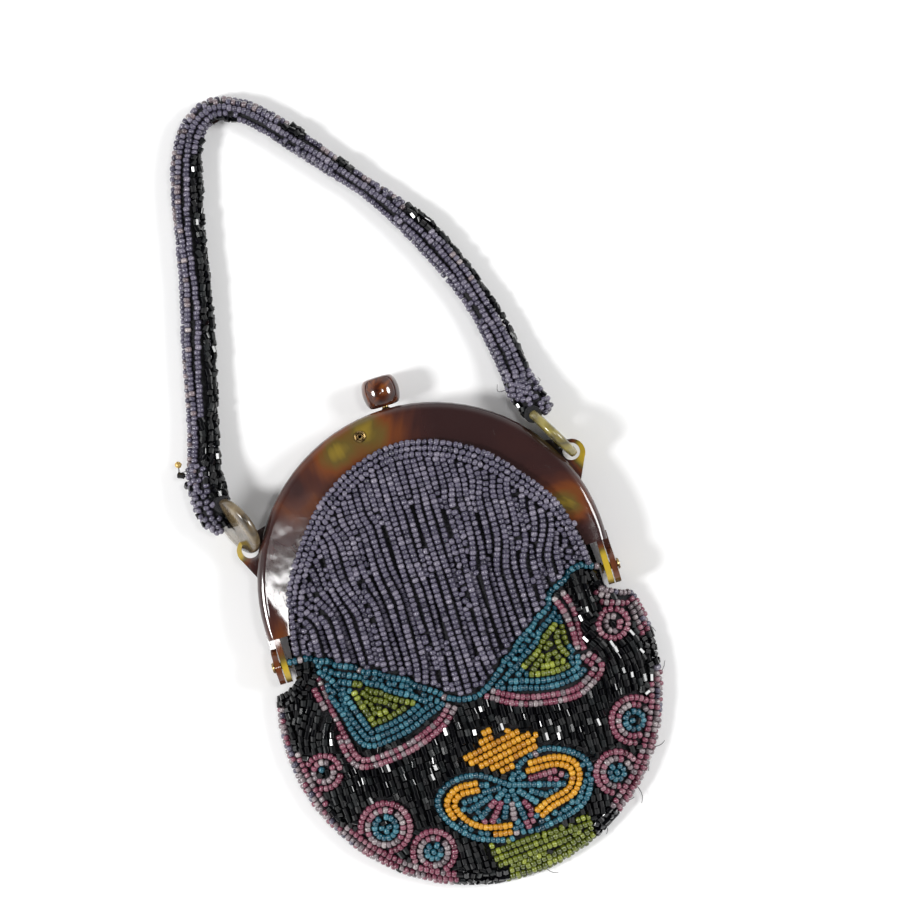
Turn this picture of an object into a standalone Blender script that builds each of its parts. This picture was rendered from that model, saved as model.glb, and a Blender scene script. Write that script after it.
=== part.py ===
"""Beaded coin purse on a hinged celluloid frame, lying on its back with the strap laid out above it.

Metres, +Z up. +X is to the purse's right seen from the front, +Y runs from the bag's bottom to the knob.
The origin is under the middle of the purse, without the strap and its rings, on the surface it lies on.
"""

import math

import bmesh
import bpy
from mathutils import Matrix, Vector

MM = 0.001
GAP = 0.3 * MM                      # air kept between pieces that touch

# Frame: two half frames of one outline, plate towards the outside, rim towards the joint plane
FRAME_R = 47.7 * MM                 # outer radius of both halves
MOUTH_R = 42.0 * MM                 # inner edge of the crescent plates
MOUTH_DROP = 9.35 * MM              # how far the inner edge's centre lies below the frame's
HALF_DEPTH = 5.3 * MM               # one half, outer face to joint plane
PLATE = 2.0 * MM                    # plate thickness
RIM = 2.4 * MM                      # rim wall thickness
ROUNDING = 2.2 * MM                 # outer edge of the rim
FRAME_END = 3.0 * MM                # the plates stop this far below the frame's centre
FRAME_STEPS = 80

# Bag
BAG_R = 50.8 * MM
BAG_DROP = 32.2 * MM                # centre of the round bag below the frame's centre
CLOTH = 1.7 * MM                    # beaded cloth
LINING = 0.6 * MM
NECK_HALF = 43.3 * MM               # half width between the hinge tabs
BAG_RISE = 2.0 * MM                 # how far the cloth bulges past the frame, front and back

# Hinge
HINGE_DROP = 10.4 * MM              # hinge line below the frame's centre
TAB_R = 4.9 * MM
TAB = 1.6 * MM                      # thickness of a hinge tab
FRONT_TAB_X = 44.5 * MM             # inner side of the front half's tab
BACK_TAB_X = 46.4 * MM              # inner side of the back half's tab
PIN_R = 0.9 * MM
SWEEP_R = 7.6 * MM                  # the cloth of the turning front stays within this of the hinge line

# Clasp: a knob on a lever between the plates
KNOB_R = 5.15 * MM
KNOB_LENGTH = 8.4 * MM
KNOB_Y = 52.5 * MM
STEM_X = 0.8 * MM
STEM_R = 1.2 * MM
PIVOT = (-4.1 * MM, 36.3 * MM)      # pin that the lever turns on
ANCHOR = (-8.0 * MM, 42.5 * MM)     # pin that holds its spring
KEEPER = (4.0 * MM, 43.2 * MM)      # headed post on the back half
LEVER = 1.5 * MM

# Lugs, rings and strap
LUG_ANGLE = math.radians(26.0)      # above the frame's centre, on both sides
LUG_HOLE_AT = 50.4 * MM             # from the frame's centre
LUG_HOLE_R = 2.35 * MM
LUG_EAR_R = 3.7 * MM
LUG_BASE = 17.0 * MM                # its length along the rim
LUG = 2.0 * MM
RING_R = 7.6 * MM                   # middle of the ring's section
RING_THICK = 2.0 * MM               # in the ring's plane
RING_WIDE = 2.9 * MM                # along its axis
STRAP_R = 3.6 * MM

MID_Z = BAG_RISE + HALF_DEPTH
FRONT_Z = 2 * MID_Z
BACK_FACE = BAG_RISE
FRONT_FACE = FRONT_Z - BAG_RISE
KNOB_TOP = KNOB_Y + KNOB_LENGTH / 2
FRAME_Y = (BAG_R + BAG_DROP - KNOB_TOP) / 2
HINGE_Y = FRAME_Y - HINGE_DROP
BAG_Y = FRAME_Y - BAG_DROP
MOUTH_Y = FRAME_Y - MOUTH_DROP

# The strap's route from the right ring to the left one, millimetres from the frame's centre, with its height
STRAP_ROUTE = (
    (36.2, 39.3, 6.8), (36.9, 45.0, 5.2), (36.2, 53.5, 3.9), (34.2, 63.9, 3.6), (31.0, 74.5, 3.6),
    (26.2, 86.2, 3.6), (20.3, 96.7, 3.6), (13.9, 105.6, 3.6), (7.8, 113.0, 3.6), (-0.4, 123.1, 3.6),
    (-7.0, 130.8, 3.6), (-13.1, 136.3, 3.6), (-20.2, 138.9, 3.6), (-26.8, 135.6, 3.6), (-31.3, 127.6, 3.6),
    (-34.2, 117.6, 3.6), (-36.6, 106.5, 3.6), (-39.9, 90.9, 3.6), (-43.2, 77.4, 3.6), (-46.4, 64.6, 3.7),
    (-49.4, 52.6, 4.4), (-51.2, 46.0, 5.6), (-51.6, 40.4, 7.0),
)


def clear_scene():
    for old in list(bpy.data.objects):
        bpy.data.objects.remove(old, do_unlink=True)


clear_scene()
PARTS = bpy.data.collections.new("coin_purse")
CUTTERS = bpy.data.collections.new("cutters")
bpy.context.scene.collection.children.link(PARTS)
bpy.context.scene.collection.children.link(CUTTERS)


def finish(name, colour, roughness, metallic=0.0):
    """A plain Principled material for one piece."""
    mat = bpy.data.materials.new(name)
    mat.use_nodes = True
    shader = mat.node_tree.nodes["Principled BSDF"]
    shader.inputs["Base Color"].default_value = (*colour, 1.0)
    shader.inputs["Roughness"].default_value = roughness
    shader.inputs["Metallic"].default_value = metallic
    return mat


def mesh_piece(name, bm, collection):
    bmesh.ops.remove_doubles(bm, verts=bm.verts, dist=1e-7)
    bmesh.ops.recalc_face_normals(bm, faces=bm.faces)
    mesh = bpy.data.meshes.new(name)
    bm.to_mesh(mesh)
    bm.free()
    mesh.shade_smooth()
    mesh.set_sharp_from_angle(angle=math.radians(35))
    obj = bpy.data.objects.new(name, mesh)
    collection.objects.link(obj)
    if collection is CUTTERS:
        obj.hide_render = True
        obj.display_type = "WIRE"
    return obj


def settle(obj, collection):
    """A curve or a piece with modifiers becomes a welded mesh in the same place."""
    bpy.context.view_layer.update()
    evaluated = obj.evaluated_get(bpy.context.evaluated_depsgraph_get())
    mesh = bpy.data.meshes.new_from_object(evaluated)
    name = obj.name
    place = obj.matrix_world.copy()
    bpy.data.objects.remove(obj, do_unlink=True)
    bm = bmesh.new()
    bm.from_mesh(mesh)
    bpy.data.meshes.remove(mesh)
    made = mesh_piece(name, bm, collection)
    made.matrix_world = place
    return made


def arc(centre_x, centre_y, radius, start, stop, count):
    """Points on a round stretch, angles in degrees."""
    points = []
    for k in range(count + 1):
        a = math.radians(start + (stop - start) * k / count)
        points.append((centre_x + radius * math.cos(a), centre_y + radius * math.sin(a)))
    return points


def flat(name, outlines, low, high, collection):
    """Flat outline in X and Y, with any holes, from height low to height high."""
    curve = bpy.data.curves.new(name, "CURVE")
    curve.dimensions = "2D"
    curve.fill_mode = "BOTH"
    curve.extrude = (high - low) / 2
    for outline in outlines:
        spline = curve.splines.new("POLY")
        spline.points.add(len(outline) - 1)
        for point, (x, y) in zip(spline.points, outline):
            point.co = (x, y, 0, 1)
        spline.use_cyclic_u = True
    obj = bpy.data.objects.new(name, curve)
    collection.objects.link(obj)
    obj.location.z = (low + high) / 2
    return settle(obj, collection)


def turned(name, profile, centre, collection, steps=32, closed=True, axis="Z"):
    """Profile of (radius, height) points turned about an upright axis, or one along X or Y, at centre."""
    mesh = bpy.data.meshes.new(name)
    count = len(profile)
    edges = [(k, k + 1) for k in range(count - 1)]
    if closed:
        edges.append((count - 1, 0))
    mesh.from_pydata([(r, 0, h) for r, h in profile], edges, [])
    obj = bpy.data.objects.new(name, mesh)
    collection.objects.link(obj)
    screw = obj.modifiers.new("turn", "SCREW")
    screw.steps = steps
    screw.render_steps = steps
    screw.use_merge_vertices = True
    screw.merge_threshold = 1e-6
    turn = {"Z": Matrix(), "X": Matrix.Rotation(math.radians(90), 4, "Y"),
            "Y": Matrix.Rotation(math.radians(-90), 4, "X")}[axis]
    obj.matrix_world = Matrix.Translation(centre) @ turn
    return settle(obj, collection)


def rod(name, radius, start, stop, centre, collection, steps=24, axis="Z"):
    """Round bar about centre, from start to stop along its axis."""
    profile = [(0, stop), (radius, stop), (radius, start), (0, start)]
    return turned(name, profile, centre, collection, steps, False, axis)


def block(name, low, high, collection):
    bm = bmesh.new()
    size = Vector(high) - Vector(low)
    middle = (Vector(high) + Vector(low)) / 2
    bmesh.ops.create_cube(bm, size=1.0, matrix=Matrix.Translation(middle) @ Matrix.Diagonal((*size, 1)))
    return mesh_piece(name, bm, collection)


def boolean(piece, tool, operation="DIFFERENCE"):
    step = piece.modifiers.new(tool.name, "BOOLEAN")
    step.operation = operation
    step.solver = "EXACT"
    step.object = tool


def axis_point(name, place):
    """An empty on a joint's axis; the pieces that turn about it hang on it."""
    empty = bpy.data.objects.new(name, None)
    empty.empty_display_size = 0.01
    PARTS.objects.link(empty)
    empty.location = place
    return empty


def hang(pieces, empty):
    bpy.context.view_layer.update()
    for piece in pieces:
        place = piece.matrix_world.copy()
        piece.parent = empty
        piece.matrix_parent_inverse = empty.matrix_world.inverted()
        piece.matrix_world = place


def smooth_route(points, per_span):
    """A Catmull-Rom curve through the points."""
    ends = [2 * points[0] - points[1], *points, 2 * points[-1] - points[-2]]
    route = []
    for k in range(1, len(ends) - 2):
        a, b, c, d = ends[k - 1:k + 3]
        for step in range(per_span):
            t = step / per_span
            route.append(0.5 * (2 * b + (c - a) * t + (2 * a - 5 * b + 4 * c - d) * t * t
                                + (3 * b - a - 3 * c + d) * t ** 3))
    route.append(points[-1])
    return route


def tube(name, points, radius, rounding=2):
    curve = bpy.data.curves.new(name, "CURVE")
    curve.dimensions = "3D"
    curve.bevel_depth = radius
    curve.bevel_resolution = rounding
    curve.use_fill_caps = True
    spline = curve.splines.new("POLY")
    spline.points.add(len(points) - 1)
    for point, place in zip(spline.points, points):
        point.co = (*place, 1)
    obj = bpy.data.objects.new(name, curve)
    PARTS.objects.link(obj)
    return settle(obj, PARTS)


# ---- the two half frames ----

def half_frame(name, face, joint):
    """Crescent plate with a rim: turned whole, then cut along the mouth and across the ends."""
    inward = 1 if joint > face else -1
    bore = 30.0 * MM
    corner = arc(FRAME_R - ROUNDING, face + inward * ROUNDING, ROUNDING, -90 * inward, 0, 4)
    profile = [(bore, face), *corner, (FRAME_R, joint), (FRAME_R - RIM, joint),
               (FRAME_R - RIM, face + inward * PLATE), (bore, face + inward * PLATE)]
    return turned(name, profile, (0, FRAME_Y, 0), PARTS, FRAME_STEPS)


def hinge_tab(name, side, inner_x, turn):
    """Flat tab on edge: a disc about the hinge pin with a bar that runs up into the half frame.

    turn is 1 where the bar lies in front of the hinge line, -1 behind it.
    """
    clear = GAP / 2 + 0.1 * MM
    meet = math.degrees(math.asin(clear / TAB_R))
    reach = HINGE_DROP - 0.9 * MM
    outline = [(reach, turn * clear), (reach, turn * TAB_R)]
    outline += [(y, turn * z) for y, z in arc(0, 0, TAB_R, 90, 360 + meet, 22)]
    tab = flat(name, [outline], -TAB / 2, TAB / 2, CUTTERS)
    stand = Matrix(((0, 0, 1, 0), (1, 0, 0, 0), (0, 1, 0, 0), (0, 0, 0, 1)))
    middle = Matrix.Translation((side * (inner_x + TAB / 2), HINGE_Y, MID_Z))
    tab.matrix_world = middle @ stand @ tab.matrix_world
    return tab


back_frame = half_frame("back_frame", BACK_FACE, MID_Z - GAP / 2)
front_frame = half_frame("front_frame", FRONT_FACE, MID_Z + GAP / 2)

mouth_cut = rod("mouth_cut", MOUTH_R, -5 * MM, 25 * MM, (0, MOUTH_Y, 0), CUTTERS, 128)
end_cut = block("end_cut", (-60 * MM, FRAME_Y - 60 * MM, -5 * MM), (60 * MM, FRAME_Y - FRAME_END, 25 * MM), CUTTERS)
pin_bore = rod("pin_bore", PIN_R + GAP, -60 * MM, 60 * MM, (0, HINGE_Y, MID_Z), CUTTERS, 24, "X")
stem_notch = block("stem_notch", (-3.6 * MM, FRAME_Y + 40 * MM, MID_Z - STEM_R - 3 * GAP),
                   (STEM_X + STEM_R + 5 * GAP, FRAME_Y + 52 * MM, MID_Z + STEM_R + 3 * GAP), CUTTERS)

for half, inner_x, turn in ((back_frame, BACK_TAB_X, -1), (front_frame, FRONT_TAB_X, 1)):
    boolean(half, mouth_cut)
    boolean(half, end_cut)
    for side in (-1, 1):
        boolean(half, hinge_tab(f"{half.name}_tab_{side}", side, inner_x, turn), "UNION")
    boolean(half, pin_bore)
    boolean(half, stem_notch)

LUG_Z = MID_Z - GAP / 2 - 0.25 * MM - LUG       # underside of the lugs


def lug(side):
    """Ear on the back half: a broad base along the rim that narrows to a round end."""
    middle = math.pi / 2 - side * (math.pi / 2 - LUG_ANGLE)
    spread = math.degrees(LUG_BASE / 2 / FRAME_R)
    turn = math.degrees(middle)
    base = arc(0, FRAME_Y, FRAME_R - 1.0 * MM, turn - spread, turn + spread, 6)
    ear_x = LUG_HOLE_AT * math.cos(middle)
    ear_y = FRAME_Y + (LUG_HOLE_AT - 0.7 * MM) * math.sin(middle)
    ear = arc(ear_x, ear_y, LUG_EAR_R, turn + 62, turn - 62, 14)
    return flat(f"lug_{side}", [base + ear], LUG_Z, LUG_Z + LUG, CUTTERS)


def lug_hole_centre(side):
    x = side * LUG_HOLE_AT * math.cos(LUG_ANGLE)
    return Vector((x, FRAME_Y + LUG_HOLE_AT * math.sin(LUG_ANGLE), LUG_Z + LUG / 2))


for side in (-1, 1):
    boolean(back_frame, lug(side), "UNION")
    hole = lug_hole_centre(side)
    boolean(back_frame, rod(f"lug_hole_{side}", LUG_HOLE_R, 0, 15 * MM, (hole.x, hole.y, 0), CUTTERS, 28))

for x, y in (PIVOT, ANCHOR):
    bore = rod(f"pin_seat_{x:.4f}", PIN_R + GAP, MID_Z + 1 * MM, 20 * MM, (x, FRAME_Y + y, 0), CUTTERS, 20)
    boolean(front_frame, bore)
front_frame = settle(front_frame, PARTS)
back_frame = settle(back_frame, PARTS)

TORTOISE = finish("tortoiseshell", (0.075, 0.022, 0.012), 0.12)
back_frame.data.materials.append(TORTOISE)
front_frame.data.materials.append(TORTOISE)


# ---- hinge pins ----

BRASS = finish("old_brass", (0.42, 0.30, 0.12), 0.4, 1.0)
pins = []
for side, word in ((-1, "left"), (1, "right")):
    inner = FRONT_TAB_X - GAP
    outer = BACK_TAB_X + TAB + GAP
    profile = [(0, inner - 0.5 * MM), (1.5 * MM, inner - 0.5 * MM), (1.5 * MM, inner), (PIN_R, inner),
               (PIN_R, outer), (1.6 * MM, outer), (1.3 * MM, outer + 0.6 * MM), (0, outer + 0.6 * MM)]
    profile = [(r, side * x) for r, x in profile]
    pin = turned(f"hinge_pin_{word}", profile, (0, HINGE_Y, MID_Z), PARTS, 24, False, "X")
    pin.data.materials.append(BRASS)
    pins.append(pin)


# ---- bag: a flat back, a domed front below the hinge, and a gathered front that turns with the frame ----

def bag_outline(inset, top_r, top_drop):
    """Round bag, necked between the hinge tabs, with a round top inside the frame."""
    radius = BAG_R - inset
    neck = NECK_HALF - inset
    shoulder = 17.0 * MM
    start = math.degrees(math.asin((BAG_DROP - shoulder) / radius))
    lower = arc(0, BAG_Y, radius, 180 - start, 360 + start, 64)
    top_angle = 8.0
    upper = arc(0, FRAME_Y - top_drop, top_r, top_angle, 180 - top_angle, 40)
    neck_low = FRAME_Y - 15.6 * MM + inset
    neck_high = FRAME_Y - 7.0 * MM
    return lower + [(neck, neck_low), (neck, neck_high)] + upper + [(-neck, neck_high), (-neck, neck_low)]


BEADED = finish("beaded_cloth", (0.10, 0.08, 0.12), 0.45)
SILK = finish("silk_lining", (0.30, 0.24, 0.17), 0.6)

TOP_R = 39.5 * MM
TOP_DROP = 1.2 * MM
bag_back = flat("bag_back_panel", [bag_outline(0, TOP_R, TOP_DROP)], 0, CLOTH, PARTS)
lining_back = flat("lining_back", [bag_outline(3.2 * MM, 36.5 * MM, 7.5 * MM)], CLOTH + GAP,
                   CLOTH + GAP + LINING, PARTS)
lining_fit = rod("lining_fit", MOUTH_R - GAP, -5 * MM, 25 * MM, (0, MOUTH_Y, 0), CUTTERS, 96)


def dome(reach, crown, wall, foot, name):
    """The bag's front, turned about the round bag's centre: nearly flat in the middle, round at the edge."""
    outer = []
    inner = []
    steps = 9
    for k in range(steps + 1):
        a = math.pi / 2 * k / steps
        r = math.sin(a)
        h = max(0.0, math.cos(a)) ** 0.8
        outer.append((reach * r, foot + (crown - foot) * h))
        inner.append(((reach - wall) * r, foot + (crown - foot - wall) * h))
    return turned(name, outer + inner[::-1], (0, BAG_Y, 0), PARTS, 56, False)


hinge_sweep = rod("hinge_sweep", SWEEP_R, -70 * MM, 70 * MM, (0, HINGE_Y, MID_Z), CUTTERS, 64, "X")
fold_room = block("fold_room", (-69 * MM, HINGE_Y - SWEEP_R, MID_Z), (69 * MM, FRAME_Y + 69 * MM, 29 * MM), CUTTERS)
mouth_side = block("mouth_side", (-70 * MM, HINGE_Y, -5 * MM), (70 * MM, FRAME_Y + 70 * MM, 30 * MM), CUTTERS)
tab_room = [block(f"tab_room_{side}", (min(side * 43.6, side * 70) * MM, FRAME_Y - 16 * MM, CLOTH),
                  (max(side * 43.6, side * 70) * MM, FRAME_Y, 30 * MM), CUTTERS) for side in (-1, 1)]
bag_front = dome(BAG_R, FRONT_Z, CLOTH, CLOTH + GAP, "bag_front_panel")
lining_front = dome(BAG_R - CLOTH - GAP, FRONT_Z - CLOTH - GAP, LINING, CLOTH + GAP, "lining_front")
below_lining = block("below_lining", (-70 * MM, BAG_Y - 70 * MM, -5 * MM),
                     (70 * MM, FRAME_Y, CLOTH + 2 * GAP + LINING), CUTTERS)
boolean(lining_front, below_lining)
for piece in (bag_front, lining_front):
    for tool in (hinge_sweep, fold_room, mouth_side, *tab_room):
        boolean(piece, tool)
bag_front = settle(bag_front, PARTS)
lining_front = settle(lining_front, PARTS)

GATHER_LOW = HINGE_Y + GAP


def gather_outline(radius, drop, half, low):
    top = arc(0, FRAME_Y - drop, radius, 8, 172, 40)
    side_y = FRAME_Y - 7.0 * MM
    return [(half, low), (half, side_y)] + top + [(-half, side_y), (-half, low)]


bag_gather = flat("bag_front_gather", [gather_outline(TOP_R, TOP_DROP, 42.3 * MM, GATHER_LOW)],
                  FRONT_FACE + GAP, FRONT_Z, PARTS)
edge = bag_gather.modifiers.new("soft_edge", "BEVEL")
edge.width = 0.9 * MM
edge.segments = 2
edge.limit_method = "ANGLE"
edge.angle_limit = math.radians(60)
bag_gather = settle(bag_gather, PARTS)
lining_gather = flat("lining_front_upper", [gather_outline(36.5 * MM, 5.5 * MM, 41.0 * MM, GATHER_LOW)],
                     FRONT_FACE - LINING, FRONT_FACE, PARTS)
lining_gather_fit = lining_gather.modifiers.new("fit", "BOOLEAN")
lining_gather_fit.operation = "INTERSECT"
lining_gather_fit.object = lining_fit
lining_gather = settle(lining_gather, PARTS)
for piece in (bag_back, bag_front, bag_gather):
    piece.data.materials.append(BEADED)
for piece in (lining_back, lining_front, lining_gather):
    piece.data.materials.append(SILK)


# ---- sewing thread that holds the bag to each plate, along the inner side of its edge ----

def sewing(name, height):
    radius = 0.3 * MM
    path = arc(0, MOUTH_Y, MOUTH_R + 1.6 * MM, 24, 156, 30)
    thread = tube(name, [(x, y, height) for x, y in path], radius, 1)
    thread.data.materials.append(THREAD)
    return thread


THREAD = finish("linen_thread", (0.05, 0.045, 0.05), 0.8)
thread_back = sewing("sewing_thread_back", BACK_FACE + PLATE + 0.6 * MM)
thread_front = sewing("sewing_thread_front", FRONT_FACE - PLATE - 0.6 * MM)


# ---- clasp ----

LEVER_LOW = MID_Z - LEVER / 2
LEVER_HIGH = MID_Z + LEVER / 2


def ring_of(x, y, radius, count=20):
    return arc(x, y, radius, 0, 360 - 360 / count, count - 1)


pivot_x, pivot_y = PIVOT[0], FRAME_Y + PIVOT[1]
keeper_x, keeper_y = KEEPER[0], FRAME_Y + KEEPER[1]
stem_foot = FRAME_Y + 44.6 * MM
lever_outline = arc(pivot_x, pivot_y, 2.4 * MM, 155, 325, 12) + [
    (0.9 * MM, keeper_y - 1.6 * MM), (1.9 * MM, keeper_y - 1.2 * MM), (1.9 * MM, stem_foot - GAP),
    (-0.5 * MM, stem_foot - GAP), (-2.6 * MM, keeper_y - 1.0 * MM)]
catch_lever = flat("catch_lever", [lever_outline, ring_of(pivot_x, pivot_y, PIN_R + GAP)],
                   LEVER_LOW, LEVER_HIGH, PARTS)
NICKEL = finish("nickel_steel", (0.42, 0.40, 0.37), 0.35, 1.0)
catch_lever.data.materials.append(NICKEL)

stem_profile = [(0, KNOB_TOP), (0.8 * MM, KNOB_TOP), (0.8 * MM, KNOB_TOP - KNOB_LENGTH - 0.2 * MM),
                (STEM_R, KNOB_TOP - KNOB_LENGTH - 0.6 * MM), (STEM_R, stem_foot - FRAME_Y), (0, stem_foot - FRAME_Y)]
knob_stem = turned("knob_stem", stem_profile, (STEM_X, FRAME_Y, MID_Z), PARTS, 20, False, "Y")
knob_stem.data.materials.append(BRASS)

bead_side = []
for k in range(9):
    a = math.radians(-78 + 156 * k / 8)
    bead_side.append((KNOB_R * (0.62 + 0.38 * math.cos(a)) if k not in (0, 8) else KNOB_R * 0.66,
                      KNOB_Y + KNOB_LENGTH / 2 * math.sin(a) / math.sin(math.radians(78))))
bead_profile = [(1.1 * MM, KNOB_Y - KNOB_LENGTH / 2), *bead_side, (1.1 * MM, KNOB_TOP)]
knob_bead = turned("knob_bead", bead_profile, (STEM_X, FRAME_Y, MID_Z), PARTS, 28, True, "Y")
AMBER = finish("amber_glass", (0.30, 0.07, 0.015), 0.08)
knob_bead.data.materials.append(AMBER)

pivot_profile = [(0, FRONT_FACE), (PIN_R, FRONT_FACE), (PIN_R, FRONT_FACE - PLATE - GAP), (1.6 * MM, FRONT_FACE - PLATE - GAP),
                 (1.6 * MM, LEVER_HIGH + GAP), (PIN_R, LEVER_HIGH + GAP), (PIN_R, LEVER_LOW - GAP),
                 (1.6 * MM, LEVER_LOW - GAP), (1.6 * MM, LEVER_LOW - 0.9 * MM), (0, LEVER_LOW - 0.9 * MM)]
catch_pin = turned("catch_pivot_pin", pivot_profile, (pivot_x, pivot_y, 0), PARTS, 20, False)
catch_pin.data.materials.append(BRASS)

anchor_x, anchor_y = ANCHOR[0], FRAME_Y + ANCHOR[1]
anchor_profile = [(0.45 * MM, FRONT_FACE), (PIN_R, FRONT_FACE), (PIN_R, FRONT_FACE - PLATE - GAP),
                  (1.5 * MM, FRONT_FACE - PLATE - GAP), (1.5 * MM, FRONT_FACE - PLATE - 1.0 * MM),
                  (PIN_R, FRONT_FACE - PLATE - 1.0 * MM), (PIN_R, LEVER_LOW), (0.45 * MM, LEVER_LOW)]
anchor_pin = turned("spring_anchor_pin", anchor_profile, (anchor_x, anchor_y, 0), PARTS, 20)
anchor_pin.data.materials.append(BRASS)

spring_z = MID_Z
spring_path = [Vector((x, y, spring_z)) for x, y in arc(anchor_x, anchor_y, PIN_R + GAP + 0.25 * MM, 200, -60, 12)]
spring_path += [Vector((-6.9 * MM, anchor_y - 2.4 * MM, spring_z)),
                Vector((-6.0 * MM, anchor_y - 2.2 * MM, spring_z)),
                Vector((-5.1 * MM, anchor_y - 0.8 * MM, spring_z))]
catch_spring = tube("catch_spring", spring_path, 0.25 * MM, 1)
catch_spring.data.materials.append(NICKEL)

keeper_profile = [(0, LEVER_HIGH + 0.9 * MM), (1.4 * MM, LEVER_HIGH + 0.9 * MM), (1.4 * MM, LEVER_HIGH + GAP),
                  (0.7 * MM, LEVER_HIGH + GAP), (0.7 * MM, BACK_FACE + PLATE + 0.9 * MM),
                  (1.5 * MM, BACK_FACE + PLATE + 0.9 * MM), (1.5 * MM, BACK_FACE + PLATE + GAP),
                  (0, BACK_FACE + PLATE + GAP)]
catch_keeper = turned("catch_keeper", keeper_profile, (keeper_x, keeper_y, 0), PARTS, 20, False)
catch_keeper.data.materials.append(BRASS)


# ---- rings through the lugs, and the strap between them ----

def ring_place(side, heading, tilt, below):
    """Frame of a ring that passes through its lug's hole.

    heading is the level direction from the hole to the ring's far side, tilt the angle of its plane to the
    surface, and below how far round the ring the hole lies under the ring's level diameter.
    """
    level = Vector((math.cos(heading), math.sin(heading), 0))
    across = Vector((level.y, -level.x, 0)) * (1 if side < 0 else -1)
    up = across * math.cos(tilt) + Vector((0, 0, math.sin(tilt)))
    hole = lug_hole_centre(side)
    centre = hole + RING_R * (level * math.cos(below) + up * math.sin(below))
    return centre, level, up


def ring(name, centre, level, up):
    """Round-sectioned ring, a little wider along its axis than it is thick."""
    axis = level.cross(up)
    section = []
    for k in range(10):
        a = 2 * math.pi * k / 10
        section.append((RING_R + RING_THICK / 2 * math.cos(a), RING_WIDE / 2 * math.sin(a)))
    made = turned(name, section, (0, 0, 0), PARTS, 36)
    turn = Matrix((level, up, axis)).transposed().to_4x4()
    made.matrix_world = Matrix.Translation(centre) @ turn
    made.data.materials.append(HORN)
    return made


def strap_loop(name, centre, level, up):
    """Flat sleeve of cloth round the ring's far side, which the strap is sewn to."""
    axis = level.cross(up)
    wall = 0.8 * MM
    thick = RING_THICK / 2 + 2.4 * GAP
    wide = RING_WIDE / 2 + GAP
    outlines = []
    for grow in (wall, 0):
        outlines.append([((thick + grow) * math.cos(a), (wide + grow) * math.sin(a))
                         for a in (2 * math.pi * k / 24 for k in range(24))])
    made = flat(name, outlines, -2.4 * MM, 2.4 * MM, PARTS)
    turn = Matrix((level, axis, -up)).transposed().to_4x4()
    made.matrix_world = Matrix.Translation(centre + level * (RING_R - 0.25 * MM)) @ turn @ made.matrix_world
    made.data.materials.append(STRAP_CLOTH)
    return made


HORN = finish("horn_celluloid", (0.36, 0.26, 0.12), 0.25)
STRAP_CLOTH = finish("strap_cloth", (0.03, 0.03, 0.035), 0.8)

RIGHT_HEADING = math.radians(119.0)
RIGHT_TILT = math.radians(90.0)
RIGHT_BELOW = math.radians(22.0)
LEFT_HEADING = math.radians(110.0)
LEFT_TILT = math.radians(66.0)
LEFT_BELOW = math.radians(22.0)

right_place = ring_place(1, RIGHT_HEADING, RIGHT_TILT, RIGHT_BELOW)
left_place = ring_place(-1, LEFT_HEADING, LEFT_TILT, LEFT_BELOW)
ring_right = ring("ring_right", *right_place)
ring_left = ring("ring_left", *left_place)
loop_right = strap_loop("strap_loop_right", *right_place)
loop_left = strap_loop("strap_loop_left", *left_place)

route = [Vector((x * MM, FRAME_Y + y * MM, z * MM)) for x, y, z in STRAP_ROUTE]
strap = tube("strap", smooth_route(route, 2), STRAP_R, 2)
strap.data.materials.append(STRAP_CLOTH)


# ---- what turns about what ----

hang([front_frame, bag_gather, lining_gather, thread_front, catch_pin, anchor_pin, catch_spring],
     axis_point("frame_hinge_axis", (0, HINGE_Y, MID_Z)))
hang([catch_lever, knob_stem, knob_bead], axis_point("catch_axis", (pivot_x, pivot_y, MID_Z)))
hang([ring_left, loop_left], axis_point("ring_left_axis", lug_hole_centre(-1)))
hang([ring_right, loop_right], axis_point("ring_right_axis", lug_hole_centre(1)))
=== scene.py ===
import math
import random

import bpy
import numpy as np
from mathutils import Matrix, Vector


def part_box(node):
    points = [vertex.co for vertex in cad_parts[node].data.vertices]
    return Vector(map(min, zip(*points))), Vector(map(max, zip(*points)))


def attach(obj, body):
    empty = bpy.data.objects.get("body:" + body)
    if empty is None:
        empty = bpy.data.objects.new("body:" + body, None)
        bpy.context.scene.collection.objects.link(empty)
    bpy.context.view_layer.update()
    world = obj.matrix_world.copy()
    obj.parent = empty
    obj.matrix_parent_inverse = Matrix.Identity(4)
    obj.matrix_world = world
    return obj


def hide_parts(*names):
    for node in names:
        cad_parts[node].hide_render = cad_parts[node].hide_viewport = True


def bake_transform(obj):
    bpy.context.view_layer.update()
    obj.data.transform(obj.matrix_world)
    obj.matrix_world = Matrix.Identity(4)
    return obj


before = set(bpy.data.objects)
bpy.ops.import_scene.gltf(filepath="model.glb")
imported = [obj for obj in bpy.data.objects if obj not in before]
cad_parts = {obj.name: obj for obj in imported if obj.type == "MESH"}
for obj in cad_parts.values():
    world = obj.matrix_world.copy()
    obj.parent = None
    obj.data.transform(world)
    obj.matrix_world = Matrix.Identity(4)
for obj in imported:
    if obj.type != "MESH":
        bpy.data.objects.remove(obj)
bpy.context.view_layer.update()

# The table: white paper under the purse, wide soft light, and a camera straight above it,
# turned so that the purse leans to the left. Lengths in this file are millimetres from the middle of the
# frame's arch, with heights from the table, and row() turns them into the model's metres.
MM = 0.001
arch_low, arch_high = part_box("front_frame")
arch_radius = (arch_high.x - arch_low.x) / 2 / MM
arch_y = arch_high.y / MM - arch_radius
LEAN = math.radians(17)
VIEW_WIDTH = 243.0
VIEW_MIDDLE = (14.1, 32.0)
CAMERA_HEIGHT = 1100.0


def row(x, y, z):
    return Vector((x, y + arch_y, z)) * MM


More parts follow.
